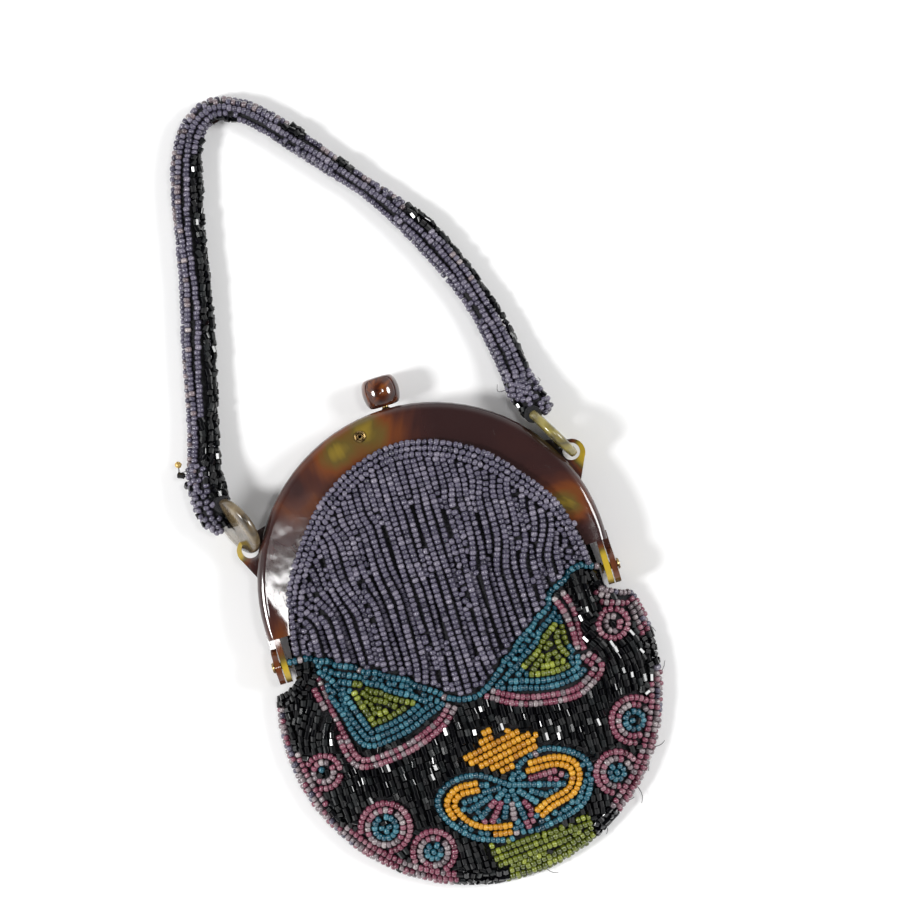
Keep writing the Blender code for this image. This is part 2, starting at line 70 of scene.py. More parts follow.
def new_material(name, colour, roughness, metallic=0.0):
    """A Principled material with its node tree ready to be added to."""
    mat = bpy.data.materials.new(name)
    mat.use_nodes = True
    shader = mat.node_tree.nodes["Principled BSDF"]
    shader.inputs["Base Color"].default_value = (*colour, 1.0)
    shader.inputs["Roughness"].default_value = roughness
    shader.inputs["Metallic"].default_value = metallic
    return mat, mat.node_tree, shader


def put(tree, kind, inputs, **settings):
    """A shader node with its settings made, and each input set to a value or joined to an output."""
    made = tree.nodes.new("ShaderNode" + kind)
    for label, value in settings.items():
        setattr(made, label, value)
    for label, value in inputs.items():
        if isinstance(value, bpy.types.NodeSocket):
            tree.links.new(value, made.inputs[label])
        else:
            made.inputs[label].default_value = value
    return made


def use_group(tree, group, **inputs):
    """A node that stands for a group of nodes, with the group's inputs set."""
    made = tree.nodes.new("ShaderNodeGroup")
    made.node_tree = group
    for label, value in inputs.items():
        made.inputs[label].default_value = value
    return made


def settle(piece, body):
    """Say which body a piece moves with."""
    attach(piece, body)


bpy.ops.object.select_all(action="DESELECT")
bpy.ops.mesh.primitive_plane_add(size=4.0, location=(0, 0, 0))
table = bpy.context.object
table.name = "table_top"
paper, _, paper_shader = new_material("white_paper", (0.97, 0.97, 0.97), 0.9)
paper_shader.inputs["Specular IOR Level"].default_value = 0.1
table.data.materials.append(paper)

camera_data = bpy.data.cameras.new("camera")
camera = bpy.data.objects.new("camera", camera_data)
bpy.context.scene.collection.objects.link(camera)
camera_data.sensor_width = 36.0
camera_data.lens = 36.0 * CAMERA_HEIGHT / VIEW_WIDTH
camera_data.clip_start = 0.01
camera.location = row(VIEW_MIDDLE[0], VIEW_MIDDLE[1], CAMERA_HEIGHT + 6.0)
camera.rotation_euler = (0, 0, -LEAN)
bpy.context.scene.camera = camera

world = bpy.data.worlds.new("studio")
world.use_nodes = True
sky = world.node_tree
background = sky.nodes["Background"]
background.inputs["Color"].default_value = (1.0, 1.0, 1.0, 1.0)
sky_split = put(sky, "SeparateXYZ", {"Vector": put(sky, "TexCoord", {}).outputs["Generated"]})
sky_fall = put(sky, "MapRange", {"Value": sky_split.outputs["Z"], "From Min": 0.45, "From Max": 0.96,
                                 "To Min": 0.72, "To Max": 0.05}, interpolation_type="SMOOTHSTEP")
sky.links.new(sky_fall.outputs["Result"], background.inputs["Strength"])
bpy.context.scene.world = world
bpy.context.scene.view_settings.view_transform = "Standard"


def soft_light(name, place, aim, size, watts):
    data = bpy.data.lights.new(name, "AREA")
    data.shape = "DISK"
    data.size = size
    data.energy = watts
    lamp = bpy.data.objects.new(name, data)
    bpy.context.scene.collection.objects.link(lamp)
    lamp.location = Vector(place)
    lamp.rotation_euler = (Vector(aim) - Vector(place)).to_track_quat("-Z", "Y").to_euler()


soft_light("window", (-0.92, 0.10, 0.85), (0, 0.03, 0), 0.30, 11.5)
soft_light("card", (0.88, 0.02, 0.75), (0, 0.03, 0), 0.40, 6.5)
soft_light("lamp", (-0.122, -0.028, 1.5), (0, 0.0, 0), 0.06, 0.25)
soft_light("panel", (0.36, 0.10, 1.45), (0, 0.03, 0), 0.20, 2.6)


# One glass seed bead and one cut black bead, each modelled once and copied along its threads. A seed bead is
# a short piece of drawn glass tube with its ends melted round; a cut bead is a longer piece of six-sided
# tube, snapped off sharp. Every copy keeps a tone of its own, because old beads never match.
SEED_LENGTH = 1.36
SEED_RADIUS = 0.96
SEED_HOLLOW = 0.60             # from a seed bead's middle to the middle of its glass wall
SEED_WIDTH = 1.86
CUT_LENGTH = 2.25
CUT_RADIUS = 0.9
CUT_WIDTH = 1.72


def take_mesh(obj):
    """The corner points and faces of a modelled bead, which is then put away."""
    points = np.array([v.co for v in obj.data.vertices], float)
    faces = [list(p.vertices) for p in obj.data.polygons]
    bpy.data.objects.remove(obj, do_unlink=True)
    return points, faces


def seed_bead(sides, rings):
    bpy.ops.object.select_all(action="DESELECT")
    bpy.ops.mesh.primitive_torus_add(major_segments=sides, minor_segments=rings,
                                     major_radius=SEED_HOLLOW, minor_radius=SEED_RADIUS - SEED_HOLLOW)
    bead = bpy.context.object
    bpy.ops.object.mode_set(mode="EDIT")
    bpy.ops.mesh.select_all(action="SELECT")
    bpy.ops.transform.resize(value=(1, 1, SEED_LENGTH / 2 / (SEED_RADIUS - SEED_HOLLOW)))
    bpy.ops.object.mode_set(mode="OBJECT")
    return take_mesh(bead)


def cut_bead():
    bpy.ops.object.select_all(action="DESELECT")
    bpy.ops.mesh.primitive_cylinder_add(vertices=6, radius=CUT_RADIUS, depth=CUT_LENGTH, end_fill_type="NGON")
    bead = bpy.context.object
    bpy.ops.object.mode_set(mode="EDIT")
    bpy.ops.mesh.select_all(action="SELECT")
    bpy.ops.mesh.bevel(offset=0.1, segments=1, affect="EDGES")
    bpy.ops.object.mode_set(mode="OBJECT")
    bpy.ops.object.mode_set(mode="EDIT")
    bpy.ops.mesh.select_all(action="DESELECT")
    bpy.ops.object.mode_set(mode="OBJECT")
    for face in bead.data.polygons:
        face.select = abs(face.normal.z) > 0.9
    bpy.ops.object.mode_set(mode="EDIT")
    bpy.ops.mesh.select_mode(type="FACE")
    bpy.ops.mesh.inset(thickness=0.36, depth=-0.3)
    bpy.ops.object.mode_set(mode="OBJECT")
    return take_mesh(bead)


SEED = seed_bead(8, 8)
BACK_SEED = seed_bead(6, 5)
CUT = cut_bead()


def add_piece(name, mesh, finish):
    """An object for a finished mesh, with its one material."""
    obj = bpy.data.objects.new(name, mesh)
    bpy.context.scene.collection.objects.link(obj)
    mesh.materials.append(finish)
    return obj


class Beads:
    """The beads of one piece: where each sits, how its hole points, which way is out, its size and tone."""

    def __init__(self, shape):
        self.shape = shape
        self.rows = []

    def add(self, place, along, out, size=1.0, tone=0.5, length=1.0):
        self.rows.append((*place, *along, *out, size, tone, length))

    def make(self, name, finish, smooth=True):
        points, faces = self.shape
        data = np.array(self.rows, float)
        place, along, out = data[:, 0:3], data[:, 3:6], data[:, 6:9]
        size, tone, length = data[:, 9], data[:, 10], data[:, 11]
        along = along / np.linalg.norm(along, axis=1)[:, None]
        side = np.cross(out, along)
        side = side / np.maximum(np.linalg.norm(side, axis=1), 1e-9)[:, None]
        out = np.cross(along, side)
        count, corners = len(data), len(points)
        co = (place[:, None, :]
              + (size[:, None] * points[None, :, 0])[:, :, None] * side[:, None, :]
              + (size[:, None] * points[None, :, 1])[:, :, None] * out[:, None, :]
              + ((size * length)[:, None] * points[None, :, 2])[:, :, None] * along[:, None, :])
        co[:, :, 1] += arch_y
        co = (co * MM).reshape(-1, 3)
        totals = np.array([len(f) for f in faces])
        loops = np.concatenate([np.array(f) for f in faces])
        all_loops = (loops[None, :] + corners * np.arange(count)[:, None]).reshape(-1)
        starts = np.concatenate([[0], np.cumsum(np.tile(totals, count))[:-1]])
        mesh = bpy.data.meshes.new(name)
        mesh.vertices.add(len(co))
        mesh.vertices.foreach_set("co", co.astype(np.float32).ravel())
        mesh.loops.add(len(all_loops))
        mesh.loops.foreach_set("vertex_index", all_loops.astype(np.int32))
        mesh.polygons.add(len(starts))
        mesh.polygons.foreach_set("loop_start", starts.astype(np.int32))
        mesh.update(calc_edges=True)
        mesh.validate()
        if smooth:
            mesh.shade_smooth()
        else:
            mesh.shade_flat()
        attribute = mesh.attributes.new("tone", "FLOAT", "POINT")
        attribute.data.foreach_set("value", np.repeat(tone, corners).astype(np.float32))
        return add_piece(name, mesh, finish)


def node_group(name, inputs, outputs):
    group = bpy.data.node_groups.new(name, "ShaderNodeTree")
    for label, kind, value in inputs:
        socket = group.interface.new_socket(label, in_out="INPUT", socket_type=kind)
        socket.default_value = value
    for label, kind in outputs:
        group.interface.new_socket(label, in_out="OUTPUT", socket_type=kind)
    return group, group.nodes.new("NodeGroupInput"), group.nodes.new("NodeGroupOutput")


# glass tone: each bead's own tone picks a shade between a dark, a main and a pale one, and dulls some beads
glass_tone, tone_in, tone_out = node_group(
    "glass_tone",
    [("Dark", "NodeSocketColor", (0, 0, 0, 1)), ("Main", "NodeSocketColor", (0.5, 0.5, 0.5, 1)),
     ("Pale", "NodeSocketColor", (1, 1, 1, 1)), ("Shine", "NodeSocketFloat", 0.15)],
    [("Color", "NodeSocketColor"), ("Roughness", "NodeSocketFloat")])
tone_value = put(glass_tone, "Attribute", {}, attribute_name="tone").outputs["Fac"]
low_part = put(glass_tone, "MapRange", {"Value": tone_value, "From Max": 0.5})
high_part = put(glass_tone, "MapRange", {"Value": tone_value, "From Min": 0.5})
low_mix = put(glass_tone, "Mix", {}, data_type="RGBA")
high_mix = put(glass_tone, "Mix", {}, data_type="RGBA")
dull = put(glass_tone, "Math", {}, operation="MULTIPLY_ADD")
dull.inputs[1].default_value = 0.16
for output, socket in ((low_part.outputs["Result"], low_mix.inputs["Factor"]),
                       (tone_in.outputs["Dark"], low_mix.inputs["A"]),
                       (tone_in.outputs["Main"], low_mix.inputs["B"]),
                       (high_part.outputs["Result"], high_mix.inputs["Factor"]),
                       (low_mix.outputs["Result"], high_mix.inputs["A"]),
                       (tone_in.outputs["Pale"], high_mix.inputs["B"]),
                       (high_mix.outputs["Result"], tone_out.inputs["Color"]),
                       (tone_value, dull.inputs[0]),
                       (tone_in.outputs["Shine"], dull.inputs[2]),
                       (dull.outputs["Value"], tone_out.inputs["Roughness"])):
    glass_tone.links.new(output, socket)


def glass(name, dark, main, pale, shine=0.12, coat=0.6):
    mat, tree, shader = new_material(name, main, shine)
    group = use_group(tree, glass_tone, Dark=(*dark, 1.0), Main=(*main, 1.0), Pale=(*pale, 1.0), Shine=shine)
    tree.links.new(group.outputs["Color"], shader.inputs["Base Color"])
    tree.links.new(group.outputs["Roughness"], shader.inputs["Roughness"])
    shader.inputs["Coat Weight"].default_value = coat
    shader.inputs["Coat Roughness"].default_value = 0.04
    shader.inputs["IOR"].default_value = 1.52
    return mat


LAVENDER = glass("lavender_glass", (0.032, 0.028, 0.050), (0.088, 0.078, 0.122), (0.20, 0.18, 0.235))
BLACK = glass("black_glass", (0.001, 0.001, 0.002), (0.003, 0.0035, 0.004), (0.010, 0.012, 0.013), 0.04, 0.15)
TEAL = glass("teal_glass", (0.003, 0.030, 0.052), (0.008, 0.080, 0.122), (0.055, 0.21, 0.27))
GREEN = glass("moss_glass", (0.034, 0.044, 0.003), (0.105, 0.128, 0.007), (0.29, 0.33, 0.035))
PINK = glass("rose_glass", (0.085, 0.014, 0.028), (0.200, 0.045, 0.080), (0.29, 0.165, 0.19))
ORANGE = glass("orange_glass", (0.340, 0.125, 0.003), (0.540, 0.240, 0.006), (0.68, 0.34, 0.02), 0.22, 0.3)
CLEAR = glass("clear_glass", (0.09, 0.065, 0.075), (0.195, 0.150, 0.165), (0.38, 0.33, 0.33), 0.08, 0.8)

dice = random.Random(1909)
SEED_GLASSES = {"lavender": LAVENDER, "teal": TEAL, "green": GREEN, "pink": PINK, "clear": CLEAR,
                "orange": ORANGE}
KINDS = {kind: (SEED, finish, SEED_LENGTH, SEED_WIDTH) for kind, finish in SEED_GLASSES.items()}
KINDS["black"] = (CUT, BLACK, CUT_LENGTH, CUT_WIDTH)
CELL = 2.5                     # beads are looked up by cubes of this size, each with its neighbours
FAR_APART = 6.5                # the square of a distance at which two beads can't touch


class Beadwork:
    """Beads sewn to one face of the bag. Each new bead is refused where it would run into one already there."""

    def __init__(self):
        self.sewn = {}
        self.cells = {}

    def free(self, place, along, length, width):
        x, y, z = place
        ax, ay, az = along
        cells = self.cells
        ci, cj, ck = int(x // CELL), int(y // CELL), int(z // CELL)
        for i in (ci - 1, ci, ci + 1):
            for j in (cj - 1, cj, cj + 1):
                for k in (ck - 1, ck, ck + 1):
                    for ox, oy, oz, bx, by, bz, other_length, other_width in cells.get((i, j, k), ()):
                        gx, gy, gz = x - ox, y - oy, z - oz
                        square = gx * gx + gy * gy + gz * gz
                        if square > FAR_APART:
                            continue
                        reach = ((length + other_length) * 0.475) ** 2
                        beside = ((width + other_width) * 0.465) ** 2
                        ahead = (gx * ax + gy * ay + gz * az) ** 2
                        if ahead / reach + (square - ahead) / beside < 1.0:
                            return False
                        ahead = (gx * bx + gy * by + gz * bz) ** 2
                        if ahead / reach + (square - ahead) / beside < 1.0:
                            return False
        return True

    def sew(self, kind, place, along, out, region, size=1.0, length=1.0, crowd=1.0):
        shape, finish, long, wide = KINDS[kind]
        x, y, z = (float(v) for v in place)
        ax, ay, az = (float(v) for v in along)
        total = math.sqrt(ax * ax + ay * ay + az * az)
        ax, ay, az = ax / total, ay / total, az / total
        if not self.free((x, y, z), (ax, ay, az), long * length * crowd, wide * crowd):
            return False
        if kind == "black":
            ox, oy, oz = (float(v) for v in out)
            roll = dice.uniform(-0.6, 0.6)
            out = (ox + (oy * az - oz * ay) * roll, oy + (oz * ax - ox * az) * roll,
                   oz + (ox * ay - oy * ax) * roll)
        cell = (int(x // CELL), int(y // CELL), int(z // CELL))
        self.cells.setdefault(cell, []).append((x, y, z, ax, ay, az, long * length * crowd, wide * crowd))
        tone = dice.random() ** 2.2 if kind == "black" else min(1.0, max(0.0, dice.gauss(0.5, 0.2)))
        self.sewn.setdefault((kind, region), Beads(shape)).add((x, y, z), (ax, ay, az), out, size, tone, length)
        return True


def smooth_step(t):
    """Nought up to one, easing in and out, for one number or many."""
    t = np.clip(t, 0.0, 1.0)
    return t * t * (3 - 2 * t)


def smooth_path(points, per_span, closed=False):
    """A Catmull-Rom curve through a few chosen points of any dimension."""
    pts = [np.array(p, float) for p in points]
    if closed:
        ring = [pts[-1], *pts, pts[0], pts[1]]
    else:
        ring = [2 * pts[0] - pts[1], *pts, 2 * pts[-1] - pts[-2]]
    route = []
    for k in range(1, len(ring) - 2):
        a, b, c, d = ring[k - 1:k + 3]
        for step in range(per_span):
            t = step / per_span
            route.append(0.5 * (2 * b + (c - a) * t + (2 * a - 5 * b + 4 * c - d) * t * t
                                + (3 * b - a - 3 * c + d) * t ** 3))
    if not closed:
        route.append(pts[-1])
    return np.array(route)


def unit(direction):
    return direction / np.linalg.norm(direction)


def walk(path, step):
    """Points a step apart along a path, each with its direction."""
    gaps = np.linalg.norm(np.diff(path, axis=0), axis=1)
    run = np.concatenate([[0], np.cumsum(gaps)])
    found = []
    for s in np.arange(0.0, run[-1], step):
        k = min(len(gaps) - 1, int(np.searchsorted(run, s, side="right")) - 1)
        t = (s - run[k]) / max(gaps[k], 1e-9)
        found.append((path[k] + (path[k + 1] - path[k]) * t, (path[k + 1] - path[k]) / max(gaps[k], 1e-9), s))
    return found


# The strap: a strip of black cotton folded lengthwise and sewn over with rows of lavender beads on one side
# and black cut beads on the other, about a quarter of a metre long. It leaves the right ring, lies in a
# narrow arch above the purse and comes back to the left ring. It is a cotton core with its beads on it.
STRAP_ROUTE = (
    (36.2, 39.3, 6.8), (36.9, 45.0, 5.2), (36.2, 53.5, 3.9), (34.2, 63.9, 3.6), (31.0, 74.5, 3.6),
    (26.2, 86.2, 3.6), (20.3, 96.7, 3.6), (13.9, 105.6, 3.6), (7.8, 113.0, 3.6), (-0.4, 123.1, 3.6),
    (-7.0, 130.8, 3.6), (-13.1, 136.3, 3.6), (-20.2, 138.9, 3.6), (-26.8, 135.6, 3.6), (-31.3, 127.6, 3.6),
    (-34.2, 117.6, 3.6), (-36.6, 106.5, 3.6), (-39.9, 90.9, 3.6), (-43.2, 77.4, 3.6), (-46.4, 64.6, 3.7),
    (-49.4, 52.6, 4.4), (-51.2, 46.0, 5.6), (-51.6, 40.4, 7.0),
)
strap_path = smooth_path(STRAP_ROUTE, 8)
strap_steps = np.linalg.norm(np.diff(strap_path, axis=0), axis=1)
strap_run = np.concatenate([[0], np.cumsum(strap_steps)])
STRAP_LENGTH = strap_run[-1]
TAIL = 9.0                     # each end of the strap, made as pieces of their own
CORE_INSET = 1.25              # from the strap's outside to its cotton core
CORE_THICK = 1.75              # half the core's thickness
ON_TABLE = 0.95                # the lowest that a bead's middle can be


def strap_half_width(s):
    """Half the width over the beads: narrow over the top of the arch, wide down both sides."""
    t = s / STRAP_LENGTH
    wide = np.interp(t, (0, 0.1, 0.2, 0.32, 0.45, 0.55, 0.72, 0.93, 1.0),
                     (3.3, 3.9, 3.9, 2.9, 2.9, 3.6, 4.2, 4.3, 4.4))
    return float(wide) + 0.25 * math.sin(s / 7.0)


def strap_at(s):
    """Middle, direction, level side and upward direction of the strap, s along it."""
    k = min(len(strap_steps) - 1, max(0, int(np.searchsorted(strap_run, s, side="right")) - 1))
    t = (s - strap_run[k]) / strap_steps[k]
    middle = strap_path[k] + (strap_path[k + 1] - strap_path[k]) * t
    ahead = unit(strap_path[min(k + 3, len(strap_path) - 1)] - strap_path[max(k - 2, 0)])
    side = unit(np.cross((0, 0, 1), ahead))
    return middle, ahead, side, np.cross(ahead, side)


def mesh_piece(name, points, faces, finish):
    """A smooth object from corner points in the model's metres and the faces between them."""
    mesh = bpy.data.meshes.new(name)
    mesh.from_pydata(points, [], faces)
    mesh.update()
    mesh.shade_smooth()
    return add_piece(name, mesh, finish)


def edit_only(obj):
    """Take one object into edit mode with all of it selected."""
    bpy.ops.object.select_all(action="DESELECT")
    bpy.context.view_layer.objects.active = obj
    obj.select_set(True)
    bpy.ops.object.mode_set(mode="EDIT")
    bpy.ops.mesh.select_all(action="SELECT")


def loft(name, sections, finish):
    """A closed skin over a row of ring sections, with its ends filled."""
    count = len(sections[0])
    points = [p for section in sections for p in section]
    faces = []
    for j in range(len(sections) - 1):
        for i in range(count):
            a, b = j * count + i, j * count + (i + 1) % count
            faces.append((a, b, b + count, a + count))
    faces.append(tuple(reversed(range(count))))
    faces.append(tuple(range((len(sections) - 1) * count, len(sections) * count)))
    obj = mesh_piece(name, [tuple(row(*p)) for p in points], faces, finish)
    edit_only(obj)
    bpy.ops.mesh.normals_make_consistent(inside=False)
    bpy.ops.object.mode_set(mode="OBJECT")
    return obj


# woven cloth: fine threads both ways, for the strap's core, the bag's ground and the lining
weave, weave_in, weave_out = node_group(
    "weave", [("Color", "NodeSocketColor", (0.1, 0.1, 0.1, 1)), ("Worn", "NodeSocketColor", (0.2, 0.2, 0.2, 1)),
              ("Threads", "NodeSocketFloat", 3000.0)],
    [("Color", "NodeSocketColor"), ("Height", "NodeSocketFloat")])
weave_place = put(weave, "TexCoord", {}).outputs["Object"]
weave_split = put(weave, "SeparateXYZ", {"Vector": weave_place})
crossing = put(weave, "Math", {}, operation="MULTIPLY")
for number, label in enumerate(("X", "Y")):
    thread_count = put(weave, "Math", {}, operation="MULTIPLY")
    wave = put(weave, "Math", {}, operation="SINE")
    weave.links.new(weave_split.outputs[label], thread_count.inputs[0])
    weave.links.new(weave_in.outputs["Threads"], thread_count.inputs[1])
    weave.links.new(thread_count.outputs["Value"], wave.inputs[0])
    weave.links.new(wave.outputs["Value"], crossing.inputs[number])
blotch = put(weave, "TexNoise", {"Vector": weave_place, "Scale": 180.0, "Detail": 6.0})
worn = put(weave, "MapRange", {"Value": blotch.outputs["Fac"], "From Min": 0.5, "From Max": 0.75})
worn_mix = put(weave, "Mix", {}, data_type="RGBA")
for output, socket in ((worn.outputs["Result"], worn_mix.inputs["Factor"]),
                       (weave_in.outputs["Color"], worn_mix.inputs["A"]),
                       (weave_in.outputs["Worn"], worn_mix.inputs["B"]),
                       (worn_mix.outputs["Result"], weave_out.inputs["Color"]),
                       (crossing.outputs["Value"], weave_out.inputs["Height"])):
    weave.links.new(output, socket)


def cloth(name, colour, worn_colour, threads, sheen):
    mat, tree, shader = new_material(name, colour, 0.85)
    group = use_group(tree, weave, Color=(*colour, 1.0), Worn=(*worn_colour, 1.0), Threads=threads)
    bump = put(tree, "Bump", {"Strength": 0.5, "Distance": 0.0002, "Height": group.outputs["Height"]})
    tree.links.new(group.outputs["Color"], shader.inputs["Base Color"])
    tree.links.new(bump.outputs["Normal"], shader.inputs["Normal"])
    shader.inputs["Sheen Weight"].default_value = sheen
    return mat


COTTON = cloth("black_cotton", (0.006, 0.006, 0.008), (0.020, 0.019, 0.021), 9000.0, 0.05)


def oval(middle, side, up, half, thick, count):
    """Points round a flat oval."""
    return [middle + side * half * math.cos(a) + up * thick * math.sin(a)
            for a in (2 * math.pi * k / count for k in range(count))]


def strap_section(s, shrink=1.0):
    """Flat oval round the strap's middle, inside its beads."""
    middle, ahead, side, up = strap_at(s)
    half = max(0.9, strap_half_width(s) - CORE_INSET) * shrink
    return oval(middle, side, up, half, CORE_THICK * shrink, 12)


core_stations = np.linspace(TAIL, STRAP_LENGTH - TAIL, 110)
strap_core = loft("strap_core", [strap_section(s) for s in core_stations], COTTON)
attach(strap_core, "back_frame")
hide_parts("strap")
tails = []
for word, body, near, far in (("right", "right_ring", 0.0, TAIL + 1.5),
                              ("left", "left_ring", STRAP_LENGTH, STRAP_LENGTH - TAIL - 1.5)):
    stations = np.linspace(near, far, 9)
    tail = loft(f"strap_tail_{word}", [strap_section(s, 0.94) for s in stations], COTTON)
    tails.append((tail, body, near, far))

strap_work = Beadwork()


def strap_part(s):
    if s < TAIL:
        return "right"
    return "left" if s > STRAP_LENGTH - TAIL else "middle"


def sew_on_strap(kind, s, around, lift=0.0, length=1.0):
    """One bead on the strap; around is how far round the strap it lies, from its inner edge, in turns."""
    middle, ahead, side, up = strap_at(s)
    half = max(0.9, strap_half_width(s) - CORE_INSET)
    angle = 2 * math.pi * around
    angle -= 0.5 * (half - CORE_THICK) / (half + CORE_THICK) * math.sin(2 * angle)
    out = unit(side * math.cos(angle) / half + up * math.sin(angle) / CORE_THICK)
    across = np.cross(out, ahead)
    sway = 0.65 if kind == "black" else 0.22
    along = ahead + across * dice.uniform(-sway, sway) + out * dice.uniform(-sway, sway) * 0.6
    place = middle + side * half * math.cos(angle) + up * CORE_THICK * math.sin(angle) + out * (0.62 + lift)
    place[2] = max(place[2], ON_TABLE)
    size = dice.uniform(0.90, 1.03)
    return strap_work.sew(kind, place, along, out, strap_part(s), size, length, 0.97)


for column in range(11):
    around = (0.25 + (column + 1) // 2 * (1 if column % 2 else -1) / 10.4) % 1.0
    s = 0.3 + dice.uniform(0, 1.2)
    while s < STRAP_LENGTH - 0.3:
        t = s / STRAP_LENGTH
        turns = around + 0.012 * math.sin(s / 6.0 + column * 1.3) + dice.uniform(-0.008, 0.008)
        face = 2 * math.pi * turns
        inner_edge = t > 0.60 and math.cos(face - 0.50) > 0.60 - 0.25 * smooth_step((t - 0.85) / 0.1)
        inner_edge = inner_edge or (t > 0.5 and math.cos(face - 0.2) > 0.93)
        outer_edge = 0.03 < t < 0.27 and math.cos(face - math.pi + 0.15) > 0.80
        clump = abs(t - 0.36) < 0.012 or abs(t - 0.43) < 0.012 or abs(t - 0.25) < 0.02
        kind = "black" if inner_edge or outer_edge or (clump and math.cos(face - math.pi) > 0.1) else "lavender"
        if kind == "lavender" and math.cos(face - math.pi) > 0.5 and 0.03 < t and dice.random() < 0.3:
            kind = "clear"
        lift = dice.uniform(0, 0.7) if kind == "black" else dice.uniform(-0.1, 0.12)
        length = dice.uniform(0.6, 0.95) if kind == "black" else dice.uniform(0.92, 1.06)
        if sew_on_strap(kind, s, turns, lift, length):
            s += (CUT_LENGTH if kind == "black" else SEED_LENGTH) * length * 0.98
        else:
            s += 0.25

for (kind, part), beads in strap_work.sewn.items():
    piece = beads.make(f"strap_{kind}_beads_{part}", KINDS[kind][1], kind != "black")
    if part == "middle":
        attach(piece, "back_frame")
    else:
        near = 0.0 if part == "right" else STRAP_LENGTH
        tails.append((piece, f"{part}_ring", near, near + (TAIL if part == "right" else -TAIL)))
for piece, body, near, far in tails:
    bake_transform(piece)


# The two rings: solid horn-coloured celluloid, turned from rod, a little wider than they are thick. Each goes
# through the hole in its lug, and the strap's folded end is sewn round its far side.
def finished_copy(node, name, finish, body, levels=0, angle=35.0, round_off=0.0):
    """A welded copy of a CAD node, rounded and smoothed, that stands for it at the same place."""
    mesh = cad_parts[node].data.copy()
    mesh.materials.clear()
    obj = add_piece(name, mesh, finish)
    edit_only(obj)
    bpy.ops.mesh.remove_doubles(threshold=0.000002)
    bpy.ops.mesh.dissolve_limited(angle_limit=math.radians(0.6))
    bpy.ops.object.mode_set(mode="OBJECT")
    bpy.ops.object.shade_smooth_by_angle(angle=math.radians(angle))
    if round_off > 0:
        bevel = obj.modifiers.new("edges", "BEVEL")
        bevel.width = round_off * MM
        bevel.segments = 2
        bevel.limit_method = "ANGLE"
        bevel.angle_limit = math.radians(angle)
        bevel.harden_normals = True
        bpy.ops.object.modifier_apply(modifier=bevel.name)
    if levels > 0:
        rounding = obj.modifiers.new("rounding", "SUBSURF")
        rounding.levels = levels
        rounding.render_levels = levels
        bpy.ops.object.modifier_apply(modifier=rounding.name)
    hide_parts(node)
    settle(obj, body)
    return obj


# fine wear: hair scratches and a greasy bloom, for every polished surface
wear, wear_in, wear_out = node_group(
    "wear", [("Gloss", "NodeSocketFloat", 0.1), ("Dull", "NodeSocketFloat", 0.4)],
    [("Roughness", "NodeSocketFloat"), ("Height", "NodeSocketFloat")])
wear_place = put(wear, "TexCoord", {}).outputs["Object"]
wear_map = put(wear, "Mapping", {"Vector": wear_place, "Scale": (1.0, 0.06, 1.0), "Rotation": (0.3, 0.2, 0.9)})
scratch = put(wear, "TexNoise", {"Vector": wear_map.outputs["Vector"], "Scale": 3600.0, "Detail": 2.0})
bloom = put(wear, "TexNoise", {"Vector": wear_place, "Scale": 260.0, "Detail": 5.0})
scratch_cut = put(wear, "MapRange", {"Value": scratch.outputs["Fac"], "From Min": 0.65, "From Max": 0.72})
wear_sum = put(wear, "Math", {}, operation="MULTIPLY_ADD")
wear_sum.inputs[1].default_value = 0.35
wear.links.new(scratch_cut.outputs["Result"], wear_sum.inputs[0])
wear.links.new(bloom.outputs["Fac"], wear_sum.inputs[2])
wear_range = put(wear, "MapRange", {"Value": wear_sum.outputs["Value"], "From Min": 0.35, "From Max": 1.05,
                                    "To Min": wear_in.outputs["Gloss"], "To Max": wear_in.outputs["Dull"]})
wear.links.new(wear_range.outputs["Result"], wear_out.inputs["Roughness"])
wear.links.new(scratch_cut.outputs["Result"], wear_out.inputs["Height"])


def add_wear(tree, shader, gloss, dull_to):
    group = use_group(tree, wear, Gloss=gloss, Dull=dull_to)
    bump = put(tree, "Bump", {"Strength": 0.1, "Distance": 0.00002, "Height": group.outputs["Height"]},
               invert=True)
    tree.links.new(group.outputs["Roughness"], shader.inputs["Roughness"])
    tree.links.new(bump.outputs["Normal"], shader.inputs["Normal"])
    return bump


def ramp(tree, stops):
    node = tree.nodes.new("ShaderNodeValToRGB")
    band = node.color_ramp
    while len(band.elements) < len(stops):
        band.elements.new(0.5)
    for element, (place, colour) in zip(band.elements, stops):
        element.position = place
        element.color = (*colour, 1.0)
    return node


def mottled(name, noise, stops, gloss, dull_to, coat=0.0, metallic=0.0):
    """A worn material whose colours run into each other, as in horn, poured glass and tarnished metal."""
    mat, tree, shader = new_material(name, stops[1][1], gloss, metallic)
    place = put(tree, "TexCoord", {})
    clouds = put(tree, "TexNoise", {"Vector": place.outputs["Object"], **noise})
    shades = ramp(tree, stops)
    tree.links.new(clouds.outputs["Fac"], shades.inputs["Fac"])
    tree.links.new(shades.outputs["Color"], shader.inputs["Base Color"])
    shader.inputs["Coat Weight"].default_value = coat
    add_wear(tree, shader, gloss, dull_to)
    return mat


HORN_NOISE = {"Scale": 120.0, "Detail": 3.0, "Distortion": 1.2}
HORN = {"right": mottled("horn_celluloid", HORN_NOISE,
                         [(0.33, (0.085, 0.070, 0.030)), (0.47, (0.19, 0.155, 0.045)),
                          (0.60, (0.27, 0.225, 0.055)), (0.74, (0.34, 0.29, 0.10))], 0.16, 0.45, 0.6),
        "left": mottled("smoky_horn_celluloid", HORN_NOISE,
                        [(0.33, (0.040, 0.030, 0.020)), (0.47, (0.105, 0.075, 0.040)),
                         (0.60, (0.17, 0.125, 0.065)), (0.74, (0.24, 0.19, 0.11))], 0.16, 0.45, 0.6)}

